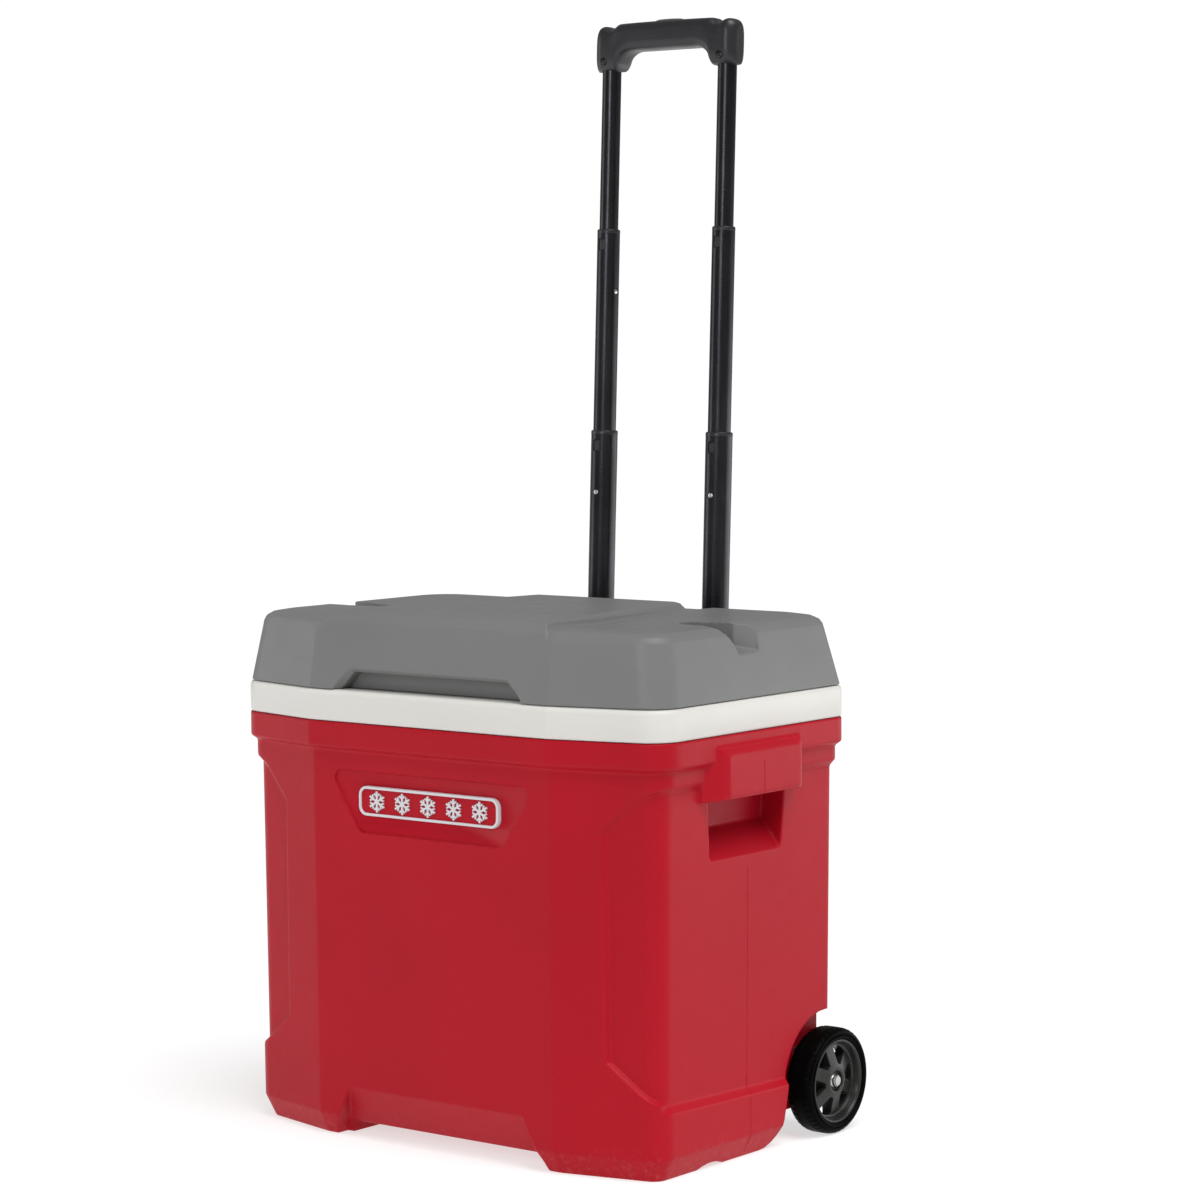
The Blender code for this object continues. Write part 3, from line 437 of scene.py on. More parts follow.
def together(name, objs):
    bm = bmesh.new()
    for o in objs:
        bm.from_mesh(o.data)
    return from_bm(name, bm)


def melt(o, voxel, passes, ratio):
    """One skin with softly moulded edges, from overlapping closed forms."""
    m = o.modifiers.new("r", "REMESH")
    m.mode = "VOXEL"
    m.voxel_size = voxel
    m.adaptivity = 0.0
    m = o.modifiers.new("s", "SMOOTH")
    m.factor = 0.5
    m.iterations = passes
    if ratio < 1.0:
        m = o.modifiers.new("d", "DECIMATE")
        m.ratio = ratio
        m.use_collapse_triangulate = True
    return bake(o)


def finish_piece(o, name, mat, body, replaced=(), sharp=50.0):
    if o in work:
        work.remove(o)
    o.name = name
    o.data.name = name
    o.data.materials.clear()
    o.data.materials.append(M[mat])
    o.data.shade_smooth()
    o.data.set_sharp_from_angle(angle=math.radians(sharp))
    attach(o, body)
    if replaced:
        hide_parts(*replaced)
    return o


# ---------------------------------------------------------------- red shell
def scoop(grow):
    roof = GRIP_Z[0] + 0.0012
    p = shrink([(0.2600, 0.2440), (0.2600, roof), (0.2180, roof), (0.2180, 0.3200),
                (0.1970, 0.3200), (0.1970, 0.2780), (0.2215, 0.2515)], -grow)
    p[0] = (0.2600, p[6][1] - 0.004)
    p[1] = (0.2600, p[2][1])
    o = prism(p, "Y", SCOOP_Y[0] - grow, SCOOP_Y[1] + grow)
    if grow == 0.0:
        y0, y1 = SCOOP_Y
        soft = rounded([(y0 + 0.0030, 0.2503), (y1 - 0.0070, 0.2503), (y1, 0.3260), (y0, 0.3260)],
                       [0.0090, 0.0130, 0.003, 0.003], [10] * 4)
        boolean(o, [prism(soft, "X", 0.1900, 0.2700)], "INTERSECT")
    return o


def arch(grow):
    return rod("X", (WHEEL_Y, WHEEL_Z), 0.0605 + grow, 0.2030 - grow, 0.2600, 96)


def carrier_bay(grow):
    return block((-0.2040 - grow, 0.2040 + grow), (0.2430 - grow, 0.3100), (-0.0200, 0.0755 + grow))


def kick(grow):
    def ring(half, back, z):
        return [at(-half - grow, -0.02, z), at(half + grow, -0.02, z),
                at(half + grow, back + grow, z), at(-half - grow, back + grow, z)]
    return loft([ring(0.1225, 0.0300, -0.0200), ring(0.1120, 0.0300, Z_BELLY + grow),
                 ring(0.0930, 0.0070, 0.0467 + grow)])


def slope(z_front, z_rear):
    return lambda y: z_front + (z_rear - z_front) * min(1.0, max(0.0, (y - 0.03) / 0.22))


def side_grip():
    def ring(x, y0, y1, z0, z1, r):
        return [at(x, y, z) for y, z in rounded([(y0, z0), (y1, z0), (y1, z1), (y0, z1)], [r] * 4, [6] * 4)]
    y0, y1 = GRIP_Y
    z0, z1 = GRIP_Z
    return loft([ring(0.2080, y0 - 0.0200, y1 + 0.0120, z0, z1 + 0.0006, 0.0004),
                 ring(0.2230, y0 - 0.0185, y1 + 0.0110, z0, z1 + 0.0003, 0.0008),
                 ring(0.2300, y0 - 0.0083, y1 + 0.0062, z0 + 0.0001, z1, 0.0022),
                 ring(0.2342, y0 - 0.0030, y1 + 0.0024, z0 + 0.0007, z1 - 0.0026, 0.0036),
                 ring(GRIP_OUT - 0.0010, y0 + 0.0004, y1 - 0.0004, z0 + 0.0018, z1 - 0.0056, 0.0042),
                 ring(GRIP_OUT, y0 + 0.0022, y1 - 0.0022, z0 + 0.0038, z1 - 0.0080, 0.0036)])


def heel(grow):
    """Raised underside behind the rear feet, curving down to them."""
    p = [(0.2040, 0.0240), (0.2001, 0.0140), (0.1970, 0.0090), (0.1930, 0.0048), (0.1861, 0.0010),
         (0.1740, -0.0010), (0.1740, -0.0300), (0.3200, -0.0300), (0.3200, 0.0240)]
    return prism(shrink(p, -grow), "X", -0.26, 0.26)


def heel_side():
    return prism([(0.2098, 0.0480), (0.2036, 0.0225), (0.2200, 0.0225), (0.2200, 0.0480)], "X", 0.2030, 0.26)


def foot_wave():
    """Shallow arch in the underside between the front and rear feet."""
    pts = [(0.0900, -0.0200)] + [(0.0900 + 0.0370 * i / 12.0, -0.0005 + 0.0040 * math.sin(math.pi * i / 12.0) ** 0.8)
                                 for i in range(13)] + [(0.1270, -0.0200)]
    return prism(pts[::-1], "X", -0.26, 0.26)


outer = loft([rim_ring(0.0175, 0.0), rim_ring(0.0085, 0.0190), rim_ring(RIM_STEP, 0.3345)])
core = loft([rim_ring(0.0195, 0.0), rim_ring(0.0085 + PANEL, 0.0210),
             rim_ring(RIM_STEP + PANEL, 0.3380)])
low_band = loft([rim_ring(0.0175, 0.0), rim_ring(0.0085, 0.0190),
                 rim_ring(0.0082, slope(0.0560, 0.0500)),
                 rim_ring(0.0082 + PANEL + 0.001, slope(0.0650, 0.0570))])
top_band = loft([rim_ring(RIM_STEP + PANEL + 0.0015, 0.3140), rim_ring(RIM_STEP, 0.3212),
                 rim_ring(RIM_STEP, 0.3352)])
rim = loft([rim_ring(RIM_STEP, 0.3330), rim_ring(0.0010, Z_RIM_LOW), rim_ring(0.0, Z_RIM_LOW + 0.0010),
            rim_ring(0.0, Z_SPLIT - 0.0012), rim_ring(0.0004, Z_SPLIT - GAP)])

face = [(-0.170, 0.285), (-0.170, 0.095), (-0.200, 0.070), (-0.213, 0.061), (-0.213, 0.040),
        (0.213, 0.040), (0.213, 0.061), (0.200, 0.070), (0.170, 0.095), (0.170, 0.285),
        (0.199, 0.313), (0.216, 0.3225), (0.216, 0.332), (-0.216, 0.332), (-0.216, 0.3225), (-0.199, 0.313)]


def face_ring(t, flat=None):
    """Outline of the raised front face, t behind the surface of the corner facets."""
    out = []
    for x, z in shrink(face, -t):
        y = 0.0055 + 0.2426 * max(0.0, abs(x) - FACET_HALF) + t if flat is None else flat
        out.append(at(x, y, z))
    return out


front = loft([face_ring(-0.0020, -0.02), face_ring(-0.0020), face_ring(0.0045), face_ring(0.0045, 0.12)])
front = boolean(front, [outer], "INTERSECT")
grips = both(side_grip())
recesses = both(scoop(0.0)) + [kick(0.0), block((-0.109, 0.109), (0.015, 0.310), (-0.020, Z_BELLY)),
                               foot_wave(), heel(0.0), carrier_bay(0.0)] + both(arch(0.0)) + both(heel_side())
plate = [(-0.0770, 0.2648), (0.0770, 0.2648), (0.1103, 0.3166), (-0.1103, 0.3166)]


def pocket_ring(d, y):
    return [at(x, y, z) for x, z in rounded(shrink(plate, d), [0.010 - d, 0.010 - d, 0.007 - d, 0.007 - d], [8] * 4)]


pocket = loft([pocket_ring(-0.0014, -0.0200), pocket_ring(-0.0014, 0.0044), pocket_ring(-0.0006, 0.0058),
               pocket_ring(0.0, 0.0064), pocket_ring(0.0, 0.0075), pocket_ring(0.0004, 0.0078)])

shell = core
boolean(shell, [low_band, top_band, rim, front] + grips, "UNION")
boolean(shell, recesses)
shell = melt(shell, 0.0010, 4, 0.20)
boolean(shell, [pocket])


def seam_ridge(o, y0, z_list):
    """Thin raised line where the two halves of the mould met, following the wall at depth y0."""
    tree = BVHTree.FromPolygons([v.co for v in o.data.vertices], [tuple(p.vertices) for p in o.data.polygons])
    out = []
    run = []
    last = None
    for z in z_list + [None]:
        x = None
        if z is not None:
            loc = tree.ray_cast(at(0.30, y0, z), Vector((-1, 0, 0)))[0]
            if loc is not None and loc.x > 0.205 and (last is None or abs(loc.x - last) < 0.0035):
                x = loc.x
        if x is None:
            if len(run) > 3:
                poly = [(px + 0.00022, pz) for px, pz in run] + [(px - 0.0012, pz) for px, pz in reversed(run)]
                bm_rows = [[at(px, y0 + dy, pz) if k < len(run) else at(px, y0 + 3 * dy, pz)
                            for k, (px, pz) in enumerate(poly)] for dy in (-0.00028, 0.00028)]
                out.append(loft(bm_rows))
            run = []
            last = None
        else:
            run.append((x, z))
            last = x
    return out


ridges = []
for r in seam_ridge(shell, 0.1540, [0.0040 + 0.0015 * i for i in range(161)]) + \
        seam_ridge(shell, 0.1540, [0.3050 + 0.0012 * i for i in range(25)]):
    ridges += both(r)
if ridges:
    boolean(shell, ridges, "UNION")

hollow = loft([rim_ring(0.0205, Z_BELLY + WALL), rim_ring(0.0165, 0.0240), rim_ring(0.0135, 0.3330),
               rim_ring(0.0110, 0.3380), rim_ring(0.0110, 0.3700)])
boolean(hollow, both(scoop(WALL)) + [carrier_bay(WALL), kick(WALL), heel(WALL)] + both(arch(WALL))
        + both(block((0.2000, 0.26), (0.2000, 0.2300), (0.0, 0.0510))))
boolean(shell, [hollow])
finish_piece(shell, "outer_shell_detail", "red", "body", ["body_shell"])

# ---------------------------------------------------------------- nameplate
big = rounded([(-0.0760, 0.2800), (0.0760, 0.2800), (0.0760, 0.3050), (-0.0760, 0.3050)], [0.0080] * 4, [10] * 4)


def plate_ring(d, y):
    c = Vector((0.0, 0.2925))
    out = []
    for x, z in shrink(rounded([(-0.0760, 0.2800), (0.0760, 0.2800), (0.0760, 0.3050), (-0.0760, 0.3050)],
                               [0.0080] * 4, [10] * 4), d):
        out.append(at(x, y, z))
    return out


badge = loft([plate_ring(0.0, 0.0078), plate_ring(0.0, 0.0044), plate_ring(0.0003, 0.0038),
              plate_ring(0.0009, 0.0036), plate_ring(0.0018, 0.0036), plate_ring(0.0022, 0.0038),
              plate_ring(0.0024, 0.0054)])


def crystal(cx, r, y0, y1):
    """A plain six-armed ice crystal: three crossed bars and a pair of twigs on each arm."""
    parts = []

    def bar_at(ax, az, ang, lo, hi, w):
        ux, uz = math.sin(ang), math.cos(ang)
        pts = [(ax + ux * lo - uz * w, az + uz * lo + ux * w), (ax + ux * lo + uz * w, az + uz * lo - ux * w),
               (ax + ux * hi + uz * w, az + uz * hi - ux * w), (ax + ux * hi - uz * w, az + uz * hi + ux * w)]
        return loft([[at(px, yy, pz) for px, pz in pts] for yy in (y0, y1)])

    for k in range(3):
        parts.append(bar_at(cx, 0.2925, math.pi * k / 3, -r, r, 0.00085))
    for k in range(6):
        a = math.pi * k / 3
        bx, bz = cx + math.sin(a) * r * 0.52, 0.2925 + math.cos(a) * r * 0.52
        for d in (-1, 1):
            parts.append(bar_at(bx, bz, a + d * math.radians(52), 0.0, r * 0.42, 0.00070))
    return boolean(parts[0], parts[1:], "UNION")


crystals = [crystal(cx, 0.0088, 0.0058, 0.0038) for cx in (-0.0560, -0.0280, 0.0, 0.0280, 0.0560)]
boolean(badge, crystals, "UNION")
finish_piece(badge, "front_nameplate", "badge", "body", ["front_badge"], 40)
field = loft([plate_ring(0.00235, 0.0056), plate_ring(0.00235, 0.0051)])
boolean(field, [crystal(cx, 0.00885, 0.0060, 0.0040) for cx in (-0.0560, -0.0280, 0.0, 0.0280, 0.0560)])
finish_piece(field, "nameplate_field", "red", "body", (), 40)

# -------------------------------------------------------------- white liner
liner = loft([
    cup_ring(0.0110, 0.0440), cup_ring(0.0, Z_SPLIT), rim_ring(0.0030, Z_SPLIT),
    rim_ring(0.0012, Z_SPLIT + 0.0002), rim_ring(0.0004, Z_SPLIT + 0.0009), rim_ring(0.0, Z_SPLIT + 0.0020),
    rim_ring(0.0, Z_SEAT - 0.0048), rim_ring(0.0003, Z_SEAT - 0.0030), rim_ring(0.0012, Z_SEAT - 0.0014),
    rim_ring(0.0026, Z_SEAT - 0.0004), rim_ring(0.0045, Z_SEAT), rim_ring(0.0105, Z_SEAT),
    rim_ring(0.0112, Z_SEAT - 0.0007), rim_ring(0.0124, Z_SEAT - 0.0007), rim_ring(0.0131, Z_SEAT),
    cup_ring(-0.0030, Z_SEAT), cup_ring(-0.0006, Z_SEAT - 0.0009), cup_ring(0.0016, Z_SEAT - 0.0028),
    cup_ring(0.0027, Z_SEAT - 0.0060), cup_ring(0.0125, 0.0560), cup_ring(0.0140, 0.0500),
    cup_ring(0.0175, 0.0472), cup_ring(0.0215, 0.0465)])
finish_piece(liner, "liner_detail", "white", "body", ["inner_liner"], 35)


# ------------------------------------------------------------------- the lid
def lid_ring(inset, back, z, grown, t):
    """Outline of the lid: inset at the front and sides, back at the rear, moved inwards by t."""
    p = [(x, y + (inset - back if y > 0.2 else 0.0)) for x, y in RIM]
    p = shrink(p, inset + t)
    rf, rr = 0.0285 - t, 0.0185 + grown - t
    return [at(x, y, z) for x, y in rounded(p, [0.012, 0.012, rf, rr, rr, rf], SEGS)]


def lean(z):
    return 0.0015 + 0.1700 * (z - 0.3851)


def lean_back(z):
    return 0.0015 + 0.1415 * (z - 0.3851)


def lid_form(t, low, detail=True):
    rings = [lid_ring(lean(low), lean_back(low), low, 0.1450 * (low - 0.3851), t)]
    if detail:
        rings += [lid_ring(lean(z), lean_back(z), z, 0.1450 * (z - 0.3851), t) for z in (0.400, 0.420)]
    rings += [lid_ring(lean(Z_SHOULDER), lean_back(Z_SHOULDER), Z_SHOULDER - 0.4 * t, 0.0075, t),
              lid_ring(0.0122, 0.0110, 0.4410 - 0.8 * t, 0.0080, t),
              lid_ring(0.0165, 0.0160, 0.4440 - t, 0.0085, t),
              lid_ring(0.0260, 0.0260, 0.4458 - t, 0.0090, t),
              lid_ring(0.0450, 0.0450, 0.4456 - t, 0.0090, t),
              lid_ring(0.0850, 0.0850, 0.4440 - t, 0.0090, t)]
    return loft(rings)


def plateau(t):
    def ring(f, y0, r, y1, z):
        return [at(-f, y0, z), at(f, y0, z), at(r, y1, z), at(-r, y1, z)]
    return loft([ring(0.1212 - t, 0.0130 + t, 0.0930 - t, 0.2700 - t, 0.4240 - t),
                 ring(0.1217 - t, 0.0096 + t, 0.0905 - t, 0.2700 - t, 0.4340 - t),
                 ring(0.1222 - t, 0.0108 + t, 0.0885 - t, 0.2700 - t, 0.4423 - t),
                 ring(0.1174 - t, 0.0178 + t, 0.0790 - t, 0.2640 - t, 0.4498 - t),
                 ring(0.1130 - t, 0.0250 + t, 0.0740 - t, 0.2560 - t, Z_TOP - t)])


def rear_notch(grow):
    a, b = 0.1005, 0.1135
    return prism([(-a - grow, 0.2475 - grow), (a + grow, 0.2475 - grow), (b + grow, 0.3050),
                  (-b - grow, 0.3050)], "Z", 0.3600, 0.4800)


def pull(grow, flare=True):
    def ring(y, g):
        w = 0.083 + g
        return [at(-w - 0.0155, y, 0.3600), at(w + 0.0155, y, 0.3600), at(w + 0.0155, y, 0.3852),
                at(w, y, 0.4005 + g), at(-w, y, 0.4005 + g), at(-w - 0.0155, y, 0.3852)]
    if flare:
        return loft([ring(-0.02, 0.0048), ring(0.0030, 0.0046), ring(0.0085, 0.0), ring(0.0200, 0.0)])
    return loft([ring(-0.02, grow), ring(0.0200 + grow, grow)])


def tie_down(grow):
    """Cord groove across one side deck: a long run-in, a steep flared rear wall, open at the side."""
    def ring(y, x, z0, z1):
        return [at(x - grow, y, z0 - grow), at(0.2500, y, z1 - grow), at(0.2500, y, 0.4800),
                at(x - grow, y, 0.4800)]
    g = 1.4 * grow
    return loft([ring(0.1120 - g, 0.1600, 0.4472, 0.4455), ring(0.1180 - g, 0.1590, 0.4465, 0.4405),
                 ring(0.1240 - g, 0.1575, 0.4458, 0.4350), ring(0.1278 - g, 0.1562, 0.4454, 0.4308),
                 ring(0.1310 - g, 0.1550, 0.4450, 0.4262), ring(0.1338 - g, 0.1540, 0.4446, 0.4218),
                 ring(0.1360 - g, 0.1530, 0.4443, 0.4175), ring(0.1395 - grow, 0.1520, 0.4440, 0.4116),
                 ring(0.1430 + grow, 0.1520, 0.4440, 0.4116), ring(0.1495 + grow, 0.2080, 0.4262, 0.4116),
                 ring(0.1660 + grow, 0.2195, 0.4225, 0.4116)])


lid = lid_form(0.0, Z_SEAT + GAP)
boolean(lid, [plateau(0.0)], "UNION")
boolean(lid, [rear_notch(0.0), pull(0.0)] + both(tie_down(0.0)))
lid = melt(lid, 0.0008, 1, 0.16)
hollow = lid_form(WALL, 0.3700, False)
boolean(hollow, [rear_notch(WALL), pull(WALL + 0.003, False)] + both(tie_down(WALL)))
boolean(lid, [hollow])
finish_piece(lid, "lid_detail", "grey", "lid", ["lid_shell"])


# ------------------------------------------------------------ towing handle
def P(x, y, s):
    return HANDLE @ Vector((x, y, s))


def turned_up(x, profile, n=64):
    """Closed ring turned about a tube's own axis; profile holds (radius, s)."""
    rows = []
    for i in range(n):
        a = 2 * math.pi * i / n
        rows.append([P(x + r * math.cos(a), r * math.sin(a), s) for r, s in profile])
    return from_bm("turned", loft_bm(rows, closed=True))


def hbox(x, y, s):
    pts = [(x[0], y[0]), (x[1], y[0]), (x[1], y[1]), (x[0], y[1])]
    return loft([[P(a, b, t) for a, b in pts] for t in s])


def hslot(x, y0, y1, s0, s1, half, r=0.0012):
    pts = rounded([(x - half, s0), (x + half, s0), (x + half, s1), (x - half, s1)], [r] * 4, [4] * 4)
    return loft([[P(a, t, b) for a, b in pts] for t in (y0, y1)])


def tube_profile(s0, s1, ro, ri, e=0.0004):
    return [(ro - e, s0), (ro, s0 + e), (ro, s1 - e), (ro - e, s1), (ri + e * 0.5, s1), (ri, s1 - e * 0.5),
            (ri, s0 + e * 0.5), (ri + e * 0.5, s0)]


def collar_profile(s0, s1, ro, ri):
    return [(ro - 0.0003, s0), (ro, s0 + 0.0003), (ro, s1 - 0.0012), (ro - 0.0003, s1 - 0.0005),
            (ro - 0.0010, s1), (ri + 0.0003, s1), (ri, s1 - 0.0003), (ri, s0)]


SLEEVE_S, LOWER_S, MIDDLE_S, UPPER_S = (-0.3000, 0.0080), (-0.0300, 0.2377), (0.2030, 0.4189), (0.3890, 0.5740)
for tag, side in (("right", 1), ("left", -1)):
    x = side * TUBE_X
    o = turned_up(x, tube_profile(SLEEVE_S[0], SLEEVE_S[1], 0.0140, 0.0124))
    finish_piece(o, "sleeve_" + tag, "tube", "body", ["outer_sleeve_" + tag], 30)
    o = turned_up(x, collar_profile(SLEEVE_S[1], SLEEVE_S[1] + 0.0083, 0.0156, 0.0124))
    finish_piece(o, "sleeve_bush_" + tag, "black", "body", ["sleeve_collar_" + tag], 30)
    for stage, (s0, s1), ro, ri, way in (("lower", LOWER_S, 0.0120, 0.0106, "front"),
                                         ("middle", MIDDLE_S, 0.01025, 0.0089, "inner")):
        body = stage + "_stage"
        o = turned_up(x, tube_profile(s0, s1 - 0.0040, ro, ri, 0.00005))
        c0, c1 = s1 - 0.0190, s1 - 0.0085
        window = hslot(x, -ro - 0.002, -ri + 0.0014, c0, c1, 0.0034)
        sb = s1 - 0.0560
        if way == "front":
            hole = loft([[P(x + a, y, sb + b) for a, b in disc(0.0028, 24)] for y in (-ro - 0.002, -ri + 0.002)])
        else:
            hole = loft([[P(x - side * d, a, sb + b) for a, b in disc(0.0028, 24)]
                         for d in (ri - 0.002, ro + 0.002)])
        boolean(o, [window, hole])
        finish_piece(o, stage + "_stage_tube_" + tag, "tube", body, [stage + "_tube_" + tag], 30)
        o = turned_up(x, collar_profile(s1 - 0.00405, s1, ro + 0.0001, ri))
        finish_piece(o, stage + "_stage_bush_" + tag, "black", body,
                     [stage + "_collar_" + tag], 30)
        # catch: a sprung tongue in the window, with a pad on it
        yb = -ro * 0.915
        o = together("c", [hslot(x, yb, -ri * 0.985, c0 + GAP, c1 - GAP, 0.0031, 0.0010),
                           hslot(x, -ro * 0.9440, yb + 0.0002, c0 + 0.0016, c1 - 0.0016, 0.0019, 0.0008)])
        o = melt(o, 0.00022, 2, 0.5)
        finish_piece(o, stage + "_stage_catch_" + tag, "black", body,
                     [stage + "_catch_" + tag], 40)
        # lock button: a turned steel pin with a domed end
        rings = []
        for d, r in ((ri - 0.0001, 0.0025), (ro - 0.0007, 0.0025), (ro - 0.0004, 0.0021), (ro - 0.00022, 0.0014),
                     (ro - 0.00016, 0.0005)):
            if way == "front":
                rings.append([P(x + a, -d, sb + b) for a, b in disc(r, 24)])
            else:
                rings.append([P(x - side * d, a, sb + b) for a, b in disc(r, 24)])
        o = loft(rings)
        finish_piece(o, stage + "_stage_button_" + tag, "steel", body,
                     [stage + "_lock_button_" + tag], 40)
    o = turned_up(x, tube_profile(UPPER_S[0], UPPER_S[1], 0.0085, 0.0072))
    pit = loft([[P(x + a, t, 0.5686 + b) for a, b in disc(r, 24)] for t, r in
                ((-0.0200, 0.0034), (-0.0118, 0.0034), (-0.0116, 0.0017), (-0.0050, 0.0017))])
    boolean(o, [pit])
    finish_piece(o, "upper_stage_tube_" + tag, "tube", "upper_stage", ["upper_tube_" + tag], 30)

# grip: end blocks with a lobe on top, curved gussets and a crowned bar
S0, S1, S2 = 0.5601, 0.5920, 0.6030
HALF_BAR, DEEP = 0.0770, 0.0140


def bar_section(x, top, low, deep):
    """Rounded cross-section of the grip at x."""
    c, h = (top + low) / 2.0, (top - low) / 2.0
    pts = []
    for i in range(32):
        a = 2 * math.pi * i / 32
        ca, sa = math.cos(a), math.sin(a)
        k = 0.60
        pts.append(P(x, deep * math.copysign(abs(ca) ** k, ca), c + h * math.copysign(abs(sa) ** k, sa)))
    return pts


def grip_top(x):
    """Height of the grip's top along the bar: crowned, with a dip before each end lobe."""
    a = abs(x)
    if a < 0.0500:
        return 0.6030 - 0.0004 * (a / 0.05) ** 2
    if a < 0.0590:
        u = (a - 0.0500) / 0.0090
        return 0.6026 - 0.0046 * (3 * u * u - 2 * u ** 3)
    if a < 0.0680:
        u = (a - 0.0590) / 0.0090
        return 0.5980 + 0.0032 * (3 * u * u - 2 * u ** 3)
    u = (a - 0.0680) / 0.0090
    return 0.6012 - 0.0058 * u ** 2.4


def grip_low(x):
    a = abs(x)
    if a > 0.0520:
        return S0
    if a < 0.0330:
        return 0.5773
    u = (0.0520 - a) / 0.0190
    return S0 + 0.0172 * math.sqrt(max(0.0, 1 - (1 - u) ** 2))


def grip_deep(x):
    """Half depth of the grip at x: even along the bar, rounded off at both ends."""
    u = max(0.0, (abs(x) - 0.0670) / 0.0100)
    return 0.0138 * math.sqrt(1 - (0.93 * u) ** 2)


xs = [-HALF_BAR + 2 * HALF_BAR * i / 110.0 for i in range(111)]
bar = loft([bar_section(x, grip_top(x), grip_low(x) - 0.0, grip_deep(x)) for x in xs])


def joint_cut(lo, hi):
    return hbox((-0.09, 0.09), (-0.03, 0.03), (lo, hi))


cuts = []
for side in (1, -1):
    x = side * TUBE_X
    cuts.append(turned_up(x, [(0.0089, S0 - 0.01), (0.0089, UPPER_S[1] + GAP), (0.0030, UPPER_S[1] + GAP),
                              (0.0030, 0.5815), (0.0001, 0.5815), (0.0001, S0 - 0.01)], 48))
    cuts.append(loft([[P(x + a, t, S0 + 0.0085 + b) for a, b in disc(r, 24)]
                      for t, r in ((-0.0200, 0.0036), (-0.0118, 0.0036), (-0.0116, 0.0018), (-0.0050, 0.0018))]))
oval_way = loft([[P(0.0160 * math.cos(2 * math.pi * i / 48), 0.0068 * math.sin(2 * math.pi * i / 48), s)
                  for i in range(48)] for s in (0.5864, S2 + 0.004)])
soft_bar = melt(bar, 0.00055, 5, 0.35)
lower_half = new_object("lower_half", soft_bar.data.copy())
work.append(lower_half)
boolean(lower_half, [hbox((-0.09, 0.09), (-0.03, 0.03), (S1, 0.62))] + cuts
        + [hbox((-0.0690, 0.0690), (-0.0046, 0.0046), (0.5800, S1 + 0.005)), oval_way])
finish_piece(lower_half, "grip_lower_half", "black", "upper_stage", ["grip_body"], 40)
cover = soft_bar
boolean(cover, [hbox((-0.09, 0.09), (-0.03, 0.03), (0.55, S1)), oval_way])
finish_piece(cover, "grip_upper_half", "black", "upper_stage", ["grip_cover"], 40)


def oval(hx, hy, s, n=48):
    return [P(hx * math.cos(2 * math.pi * i / n), hy * math.sin(2 * math.pi * i / n), s) for i in range(n)]


button = loft([oval(0.0155, 0.0063, 0.5908), oval(0.0155, 0.0063, S2 - 0.0006), oval(0.0152, 0.0060, S2 + 0.0002),
               oval(0.0145, 0.0054, S2 + 0.0008), oval(0.0128, 0.0043, S2 + 0.0012),
               oval(0.0100, 0.0030, S2 + 0.0014), oval(0.0050, 0.0014, S2 + 0.0014)])
finish_piece(button, "grip_button_detail", "button", "release_button", ["grip_button"], 40)

# ------------------------------------------------------------------- wheels
CW = (WHEEL_Y, WHEEL_Z)


def wheel_ring(profile, n, wave=None):
    rows = []
    for i in range(n):
        t = 2 * math.pi * i / n
        row = []
        for x, r in profile:
            rr = r + (wave(x, t, i) if wave else 0.0)
            row.append(at(x, CW[0] + rr * math.cos(t), CW[1] + rr * math.sin(t)))
        rows.append(row)
    return from_bm("ring", loft_bm(rows, closed=True))


def tread(x, t, i):
    """Fine cross ribs on both shoulders of the tread."""
    u = abs(x - 0.2195)
    if 0.0052 < u < 0.0108:
        return -0.00045 if i % 4 in (0, 1) else 0.0
    return 0.0


a, b = 0.2070, 0.2320
R = 0.0455
prof = [(a + 0.0010, 0.0360), (b - 0.0016, 0.0360), (b - 0.0012, 0.0362), (b - 0.0010, 0.0368), (b - 0.0003, 0.0373),
        (b, 0.0379), (b, 0.0385), (b - 0.0005, 0.0391), (b - 0.0013, 0.0394), (b - 0.0013, 0.0400),
        (b - 0.0007, 0.0404), (b - 0.0006, 0.0413), (b - 0.0010, 0.0424), (b - 0.0017, 0.0436),
        (b - 0.0026, 0.0445), (b - 0.0040, 0.0451), (b - 0.0060, R - 0.0001), (b - 0.0071, R),
        (b - 0.0074, R - 0.0005), (b - 0.0079, R - 0.0005), (b - 0.0082, R), (b - 0.0125, R),
        (b - 0.0168, R), (b - 0.0171, R - 0.0005), (b - 0.0176, R - 0.0005), (b - 0.0179, R),
        (a + 0.0060, R - 0.0001), (a + 0.0040, 0.0451), (a + 0.0020, 0.0443), (a, 0.0425), (a + 0.0002, 0.0390)]

hub_prof = [(a + 0.0020, 0.0357), (a + 0.0020, 0.0325), (a + 0.0080, 0.0318), (a + 0.0080, 0.0120),
            (0.2008, 0.0110), (0.2008, 0.0044), (0.2252, 0.0044), (0.2252, 0.0085), (b - 0.0036, 0.0088),
            (b - 0.0030, 0.0094), (b - 0.0031, 0.0118), (b - 0.0042, 0.0150), (b - 0.0064, 0.0220),
            (b - 0.0080, 0.0285), (b - 0.0084, 0.0302), (b - 0.0080, 0.0316), (b - 0.0030, 0.0331),
            (b - 0.0018, 0.0337), (b - 0.0012, 0.0346), (b - 0.0014, 0.0357)]

